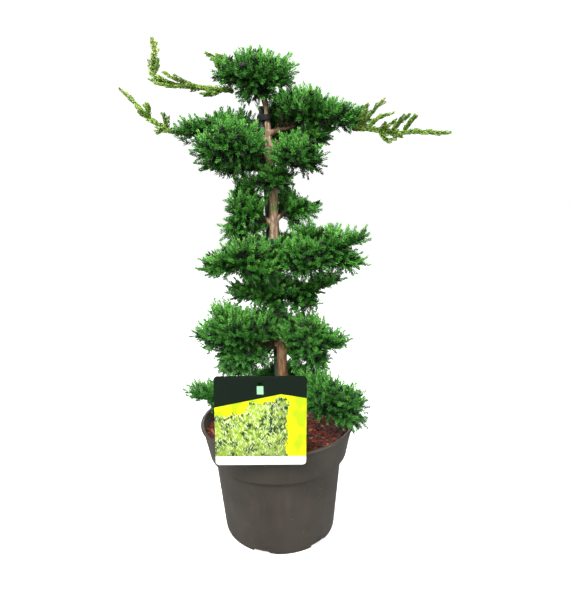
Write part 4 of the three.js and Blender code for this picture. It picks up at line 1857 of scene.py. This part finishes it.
@dataclass
class SoftTie:
    """A soft band round the stem and the cane."""

    node: str
    slot: str
    finish: Rubber
    low: float
    wall: float = 0.0016
    slack: float = 0.0012
    height: float = 0.0065
    steps: int = 96

    def _outline(self, stem: Stem, cane: SupportCane, margin: float) -> list[Vector]:
        """Runs a belt line round the stem and the cane.

        Args:
            stem: The stem.
            cane: The cane.
            margin: The distance from both.

        Returns:
            Its points.
        """
        middle = self.low + self.height / 2
        round_things = ((stem.centre(middle), stem.radius(middle)), (cane.centre(middle), cane.radius))
        line = []
        for i in range(self.steps):
            way = Vector((math.cos(math.tau * i / self.steps), math.sin(math.tau * i / self.steps), 0))
            centre, radius = max(round_things, key=lambda thing: thing[0].dot(way) + thing[1])
            line.append(centre + way * (radius + margin))
        return evenly([*line, line[0]], self.steps + 1)[:-1]

    def _section(self) -> list[tuple[float, float]]:
        """Rounds the edges of the band's section.

        Returns:
            The section.
        """
        half, tall, edge = self.wall / 2, self.height / 2, 0.0005
        corners = [(half - edge, tall - edge), (-half + edge, tall - edge)]
        corners += [(-half + edge, -tall + edge), (half - edge, -tall + edge)]
        section = []
        for number, (x, z) in enumerate(corners):
            for step in range(4):
                angle = math.pi / 2 * (number + step / 3)
                section.append((x + edge * math.cos(angle), z + edge * math.sin(angle)))
        return section

    def build(self, stem: Stem, cane: SupportCane) -> bpy.types.Object:
        """Returns the finished tie.

        Args:
            stem: The stem that it holds.
            cane: The cane that it holds the stem to.

        Returns:
            The tie.
        """
        facets = Facets()
        facets.loop(self._outline(stem, cane, self.slack + self.wall / 2), self._section())
        mesh = dress(facets.mesh(self.node, 50), self.finish.build())
        return show(self.node.replace("tie_", "soft_tie_"), mesh, [self.node])


@dataclass
class PlantLabel:
    """A printed card with round corners and a hole, hung upright over the rim."""

    width: float = 0.096
    height: float = 0.0995
    thickness: float = 0.0008
    corner: float = 0.004
    centre: Vector = Vector((-0.0176, -0.0978, 0.1840))
    lean: float = 1.3
    hole_radius: float = 0.0024
    hole_drop: float = 0.008
    edge: float = 0.00012

    def _spline(self, curve: bpy.types.Curve, points: Sequence[tuple[float, float]]) -> None:
        """Adds a closed line to a flat curve.

        Args:
            curve: The curve.
            points: The line's points.
        """
        spline = curve.splines.new("POLY")
        spline.points.add(len(points) - 1)
        for point, (x, y) in zip(spline.points, points):
            point.co = (x, y, 0, 1)
        spline.use_cyclic_u = True

    def build(self) -> bpy.types.Object:
        """Makes the label, with its hole, and hangs it in place.

        Returns:
            The finished label.
        """
        curve = bpy.data.curves.new("label_outline", "CURVE")
        curve.dimensions = "2D"
        curve.fill_mode = "BOTH"
        curve.extrude = self.thickness / 2 - self.edge
        curve.bevel_depth = self.edge
        curve.bevel_resolution = 2
        curve.offset = -self.edge
        right, top = self.width / 2 - self.corner, self.height / 2 - self.corner
        outline = []
        for number, (x, y) in enumerate(((right, top), (-right, top), (-right, -top), (right, -top))):
            for step in range(9):
                angle = math.pi / 2 * (number + step / 8)
                outline.append((x + self.corner * math.cos(angle), y + self.corner * math.sin(angle)))
        self._spline(curve, outline)
        middle = self.height / 2 - self.hole_drop
        turns = [math.tau * i / 28 for i in range(28)]
        hole = [(self.hole_radius * math.cos(a), middle + self.hole_radius * math.sin(a)) for a in turns]
        self._spline(curve, hole)
        carrier = bpy.data.objects.new("label_outline", curve)
        mesh = bpy.data.meshes.new_from_object(carrier)
        bpy.data.objects.remove(carrier)
        upright = Matrix.Rotation(math.pi / 2, 4, "X")
        leaned = Matrix.Rotation(math.radians(self.lean), 4, "Y")
        mesh.transform(Matrix.Translation(self.centre) @ leaned @ upright)
        welded(mesh)
        soften(mesh, 50)
        finish = PrintedLabel(self.width, self.height, self.centre, math.radians(self.lean))
        return show("label", dress(mesh, finish.build()), ["plant_label"])


# ------------------------------------------------------------------------------------------------
# Studio


@dataclass
class Stage:
    """The pale floor, the white surround, the soft lights and the camera.

    The floor and the surround are seen but throw no light, and a grey sheet just below the floor sends up
    the light that a floor would. Each lamp has its place, its size and its power.
    """

    floor: Studio
    bounce: Studio
    sky: Studio
    reach: float = 20.0
    below: float = 0.001
    eye: Vector = Vector((0, -0.591, 0.418))
    pitch: float = 0.200
    roll: float = -0.027
    lens: float = 30.94
    shift: float = 0.0186
    aim: Vector = Vector((0, 0, 0.3))
    surround: float = 0.4
    lamps: Sequence[tuple[str, tuple[float, float, float], float, float]] = (
        ("key", (-0.5, -1.3, 1.9), 0.9, 76),
        ("left", (-1.6, -0.9, 0.8), 1.0, 14),
        ("right", (1.6, -1.0, 1.0), 1.0, 22),
        ("back", (0.3, 1.7, 1.4), 1.2, 24),
    )

    def _light(self, name: str, place: tuple[float, float, float], size: float, power: float) -> None:
        """Adds a square soft light that faces the middle of the plant.

        Args:
            name: Its name.
            place: Where it hangs.
            size: The length of its edge.
            power: Its power in watts.
        """
        lamp = bpy.data.lights.new(name, "AREA")
        lamp.size = size
        lamp.energy = power
        holder = bpy.data.objects.new(name, lamp)
        holder.location = place
        holder.rotation_mode = "QUATERNION"
        holder.rotation_quaternion = (self.aim - holder.location).to_track_quat("-Z", "Y")
        bpy.context.scene.collection.objects.link(holder)

    def _sheet(self, height: float) -> Facets:
        """Returns a level sheet at a height."""
        corners = ((-1, -1), (1, -1), (1, 1), (-1, 1))
        return Facets([Vector((x, y, 0)) * self.reach + UP * height for x, y in corners], [(0, 1, 2, 3)])

    def _dome(self) -> Facets:
        """Makes the surround, open at its foot and all but closed at its top.

        Returns:
            The surround.
        """
        dome, radius, sides = Facets(), self.reach * 0.9, 48
        heights = [math.sin(math.radians(angle)) for angle in (0, 10, 30, 50, 70, 89)]
        for height in heights:
            span = radius * math.sqrt(1 - height**2)
            dome.ring(UP * height * radius, RIGHT, BACK, sides, lambda _: span)
        for number in range(len(heights) - 1):
            dome.bridge((number + 1) * sides, number * sides, sides)
        return dome

    def _hang(self, name: str, facets: Facets, paint: Studio, seen: bool) -> None:
        """Adds a part of the studio: seen but throwing no light, or unseen and throwing it.

        Args:
            name: Its name.
            facets: Its shape.
            paint: Its finish.
            seen: Whether it is the seen kind.
        """
        piece = bpy.data.objects.new(name, dress(facets.mesh(name), paint.build()))
        bpy.context.scene.collection.objects.link(piece)
        piece.visible_camera = seen
        piece.visible_diffuse = piece.visible_glossy = not seen
        piece.visible_transmission = piece.visible_shadow = False

    def _camera(self) -> None:
        """Adds the camera and looks through it."""
        lens = bpy.data.cameras.new("camera")
        lens.lens = self.lens
        lens.sensor_width = 36
        lens.shift_x = self.shift
        lens.clip_start = 0.01
        camera = bpy.data.objects.new("camera", lens)
        turned = Matrix.Rotation(math.pi / 2 - self.pitch, 4, "X") @ Matrix.Rotation(self.roll, 4, "Z")
        camera.matrix_world = Matrix.Translation(self.eye) @ turned
        bpy.context.scene.collection.objects.link(camera)
        bpy.context.scene.camera = camera

    def build(self) -> None:
        """Sets up everything round the object."""
        self._hang("floor", self._sheet(0.0), self.floor, True)
        self._hang("bounce", self._sheet(-self.below), self.bounce, False)
        self._hang("sky", self._dome(), self.sky, True)
        for lamp in self.lamps:
            self._light(*lamp)
        world = bpy.data.worlds.new("studio")
        world.use_nodes = True
        background = world.node_tree.nodes["Background"]
        background.inputs["Color"].default_value = (1, 1, 1, 1)
        background.inputs["Strength"].default_value = self.surround
        bpy.context.scene.world = world
        bpy.context.scene.view_settings.view_transform = "Standard"
        self._camera()


# ------------------------------------------------------------------------------------------------
# The whole tree


def limb(height: float, end: tuple[float, float, float], vigour: float) -> Limb:
    """Returns a limb from its height on the stem and its end, both in millimetres, and its vigour."""
    return Limb(height * MM, Vector(end) * MM, vigour)


CLOUDS = (
    ("foliage_crown", limb(530, (-42, -2, 543), 0.6), 11),
    ("foliage_upper_right", limb(482, (88, -12, 491), 0.5), 12),
    ("foliage_upper_right_inner", limb(468, (52, 14, 481), 0.4), 13),
    ("foliage_upper_left_back", limb(474, (-86, 20, 490), 0.4), 14),
    ("foliage_upper_left_front", limb(455, (-60, -20, 464), 0.5), 15),
    ("foliage_left_skirt", limb(438, (-64, -3, 448), 0.3), 16),
    ("foliage_right_shelf", limb(440, (44, -12, 453), 0.3), 17),
    ("foliage_neck", limb(424, (6, -20, 434), 0.25), 18),
    ("foliage_shoulder_left", limb(380, (-34, -2, 398), 0.6), 19),
    ("foliage_shoulder_right", limb(386, (38, 0, 398), 0.6), 20),
    ("foliage_middle_left", limb(330, (-62, -8, 337), 0.5), 21),
    ("foliage_middle_right", limb(328, (92, -4, 352), 0.5), 22),
    ("foliage_waist_left", limb(296, (-38, 0, 304), 0.35), 23),
    ("foliage_waist_right", limb(292, (40, 4, 301), 0.35), 24),
    ("foliage_lower_left", limb(236, (-76, -2, 250), 0.7), 25),
    ("foliage_lower_right", limb(228, (66, -6, 240), 0.7), 26),
    ("foliage_base_left", limb(156, (-92, -6, 178), 0.5), 27),
    ("foliage_base_right", limb(150, (82, -34, 172), 0.5), 28),
    ("foliage_back_upper", limb(460, (4, 52, 470), 0.4), 29),
    ("foliage_back_middle", limb(334, (6, 50, 345), 0.4), 30),
    ("foliage_back_lower", limb(232, (-6, 50, 248), 0.5), 31),
    ("foliage_base_back", limb(152, (12, 50, 176), 0.4), 32),
)

LONG_SHOOTS = (
    LongShoot(
        "long_shoot_upper_left",
        (
            (-38, 0, 527), (-54, 0, 530), (-79, 2, 533), (-98, 4, 536),
            (-116, 5, 542), (-126, 6, 548), (-125, 6, 566), (-124, 6, 584),
        ),
        (
            ((-51, 0, 529), (-63, -3, 525), (-73, -4, 526)),
            ((-80, 2, 534), (-101, -1, 542), (-113, -3, 548)),
            ((-100, 3, 535), (-116, 1, 537), (-129, 0, 542)),
            ((-125, 6, 550), (-122, 7, 558), (-121, 8, 563)),
        ),
        41,
    ),
    LongShoot(
        "long_shoot_left",
        (
            (-99, 22, 487), (-115, 26, 491), (-127, 31, 498), (-142, 37, 509),
            (-155, 43, 522), (-167, 48, 534), (-176, 51, 542),
        ),
        (
            ((-119, 28, 494), (-121, 25, 503), (-122, 22, 509)),
            ((-121, 29, 495), (-126, 26, 492), (-131, 24, 495)),
            ((-139, 36, 507), (-146, 32, 510), (-150, 30, 514)),
            ((-141, 37, 509), (-142, 35, 516), (-143, 34, 522)),
        ),
        42,
    ),
    LongShoot(
        "long_shoot_right",
        ((89, -18, 483), (109, -28, 480), (126, -39, 476), (150, -55, 474), (175, -74, 470)),
        (
            ((94, -20, 484), (107, -22, 495), (115, -26, 504), (121, -28, 510)),
            ((98, -20, 488), (102, -18, 500), (106, -20, 506)),
            ((104, -25, 482), (115, -28, 491), (130, -34, 496)),
            ((116, -33, 478), (124, -38, 483), (130, -41, 488)),
            ((116, -33, 477), (122, -37, 469), (134, -45, 472)),
            ((128, -40, 477), (136, -45, 486), (143, -48, 491)),
            ((138, -46, 476), (143, -49, 483), (149, -52, 489)),
        ),
        43,
    ),
    LongShoot(
        "long_shoot_crown",
        ((-32, -2, 555), (-43, -2, 559), (-54, -2, 562), (-65, -2, 567)),
        (
            ((-45, -2, 559), (-50, -6, 556), (-54, -8, 557)),
        ),
        44,
    ),
)


@dataclass
class Foliage:
    """Every cloud and long shoot, grown from one set of shoots."""

    stem: Stem
    leaf: Leaf
    fresh: Leaf
    bushy: Sequence[ShootForm] = (ShootForm.BUSHY, ShootForm.SLENDER, ShootForm.BENT)
    spired: Sequence[ShootForm] = (ShootForm.SPIRE, ShootForm.CROOKED_SPIRE)

    def _grown(self, grower: Grower, sprigs: Sprigs, values: dict) -> bpy.types.Mesh:
        """Grows some sprigs into a mesh.

        Args:
            grower: The tree.
            sprigs: The sprigs.
            values: The tree's other inputs, by name.

        Returns:
            The mesh.
        """
        lines = bpy.data.objects.new("twig_lines", sprigs.lines_mesh())
        mesh = grower.grow(sprigs.points_mesh(), {**values, "Twigs": lines})
        bpy.data.objects.remove(lines)
        return mesh

    def build(self) -> None:
        """Grows all the foliage."""
        shelf = gather("shoot", [LeafyShoot(form, seed).build() for seed in (1, 2) for form in self.bushy])
        spires = gather("spire", [LeafyShoot(form, seed).build() for seed in (3, 4) for form in self.spired])
        grower = foliage_grower()
        twig = JuniperBark(twig=True).build()
        leaf, fresh = self.leaf.build(), self.fresh.build()
        for node, bearer, seed in CLOUDS:
            sprigs = FoliageCloud(node, bearer, seed).build(self.stem)
            mesh = self._grown(grower, sprigs, {"Shoots": shelf, "Leaf": leaf, "Wood": twig})
            show(node.replace("foliage", "cloud"), mesh, [node])
        for shoot in LONG_SHOOTS:
            mesh = self._grown(grower, shoot.build(), {"Shoots": spires, "Leaf": fresh, "Wood": twig})
            show(shoot.node.replace("long_shoot", "leader"), mesh, [shoot.node])


def main() -> None:
    """Builds the whole tree, piece by piece."""
    logging.basicConfig(level=logging.INFO, format="%(name)s: %(message)s")
    bounce = Studio("studio_bounce", 0.0, (0.3, 0.3, 0.3))
    Stage(Studio("studio_floor", 0.64), bounce, Studio("studio_sky", 1.0)).build()
    NurseryPot(PotPlastic()).build()
    dress(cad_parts["root_ball"].data, Compost().build())
    MulchBed(MulchBark()).build()
    stem = Stem()
    limbs = [bearer for _, bearer, _ in CLOUDS]
    show("stem", dress(stem.build(limbs), JuniperBark().build()), ["stem_and_limbs"])
    cane = SupportCane(DyedCane())
    cane.build()
    black = Rubber("black_rubber", colour(17, 17, 16), colour(62, 62, 58))
    green = Rubber("green_tie", colour(24, 52, 42), colour(70, 104, 88))
    SoftTie("tie_upper", "black_rubber", black, 0.496).build(stem, cane)
    SoftTie("tie_lower", "green_tie", green, 0.359).build(stem, cane)
    PlantLabel().build()
    dress(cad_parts["label_clip"].data, ClipPlastic().build())
    mature = Leaf(
        Growth.MATURE,
        shadow=colour(6, 24, 5),
        body=colour(40, 106, 24),
        bright=colour(70, 156, 42),
        young_and_lit=colour(112, 188, 72),
        tip=colour(142, 204, 112),
    )
    fresh = Leaf(
        Growth.FRESH,
        shadow=colour(84, 92, 24),
        body=colour(82, 130, 42),
        bright=colour(134, 174, 68),
        young_and_lit=colour(174, 200, 104),
        tip=colour(146, 156, 80),
    )
    Foliage(stem, mature, fresh).build()
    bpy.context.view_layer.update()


if __name__ == "__main__":
    main()
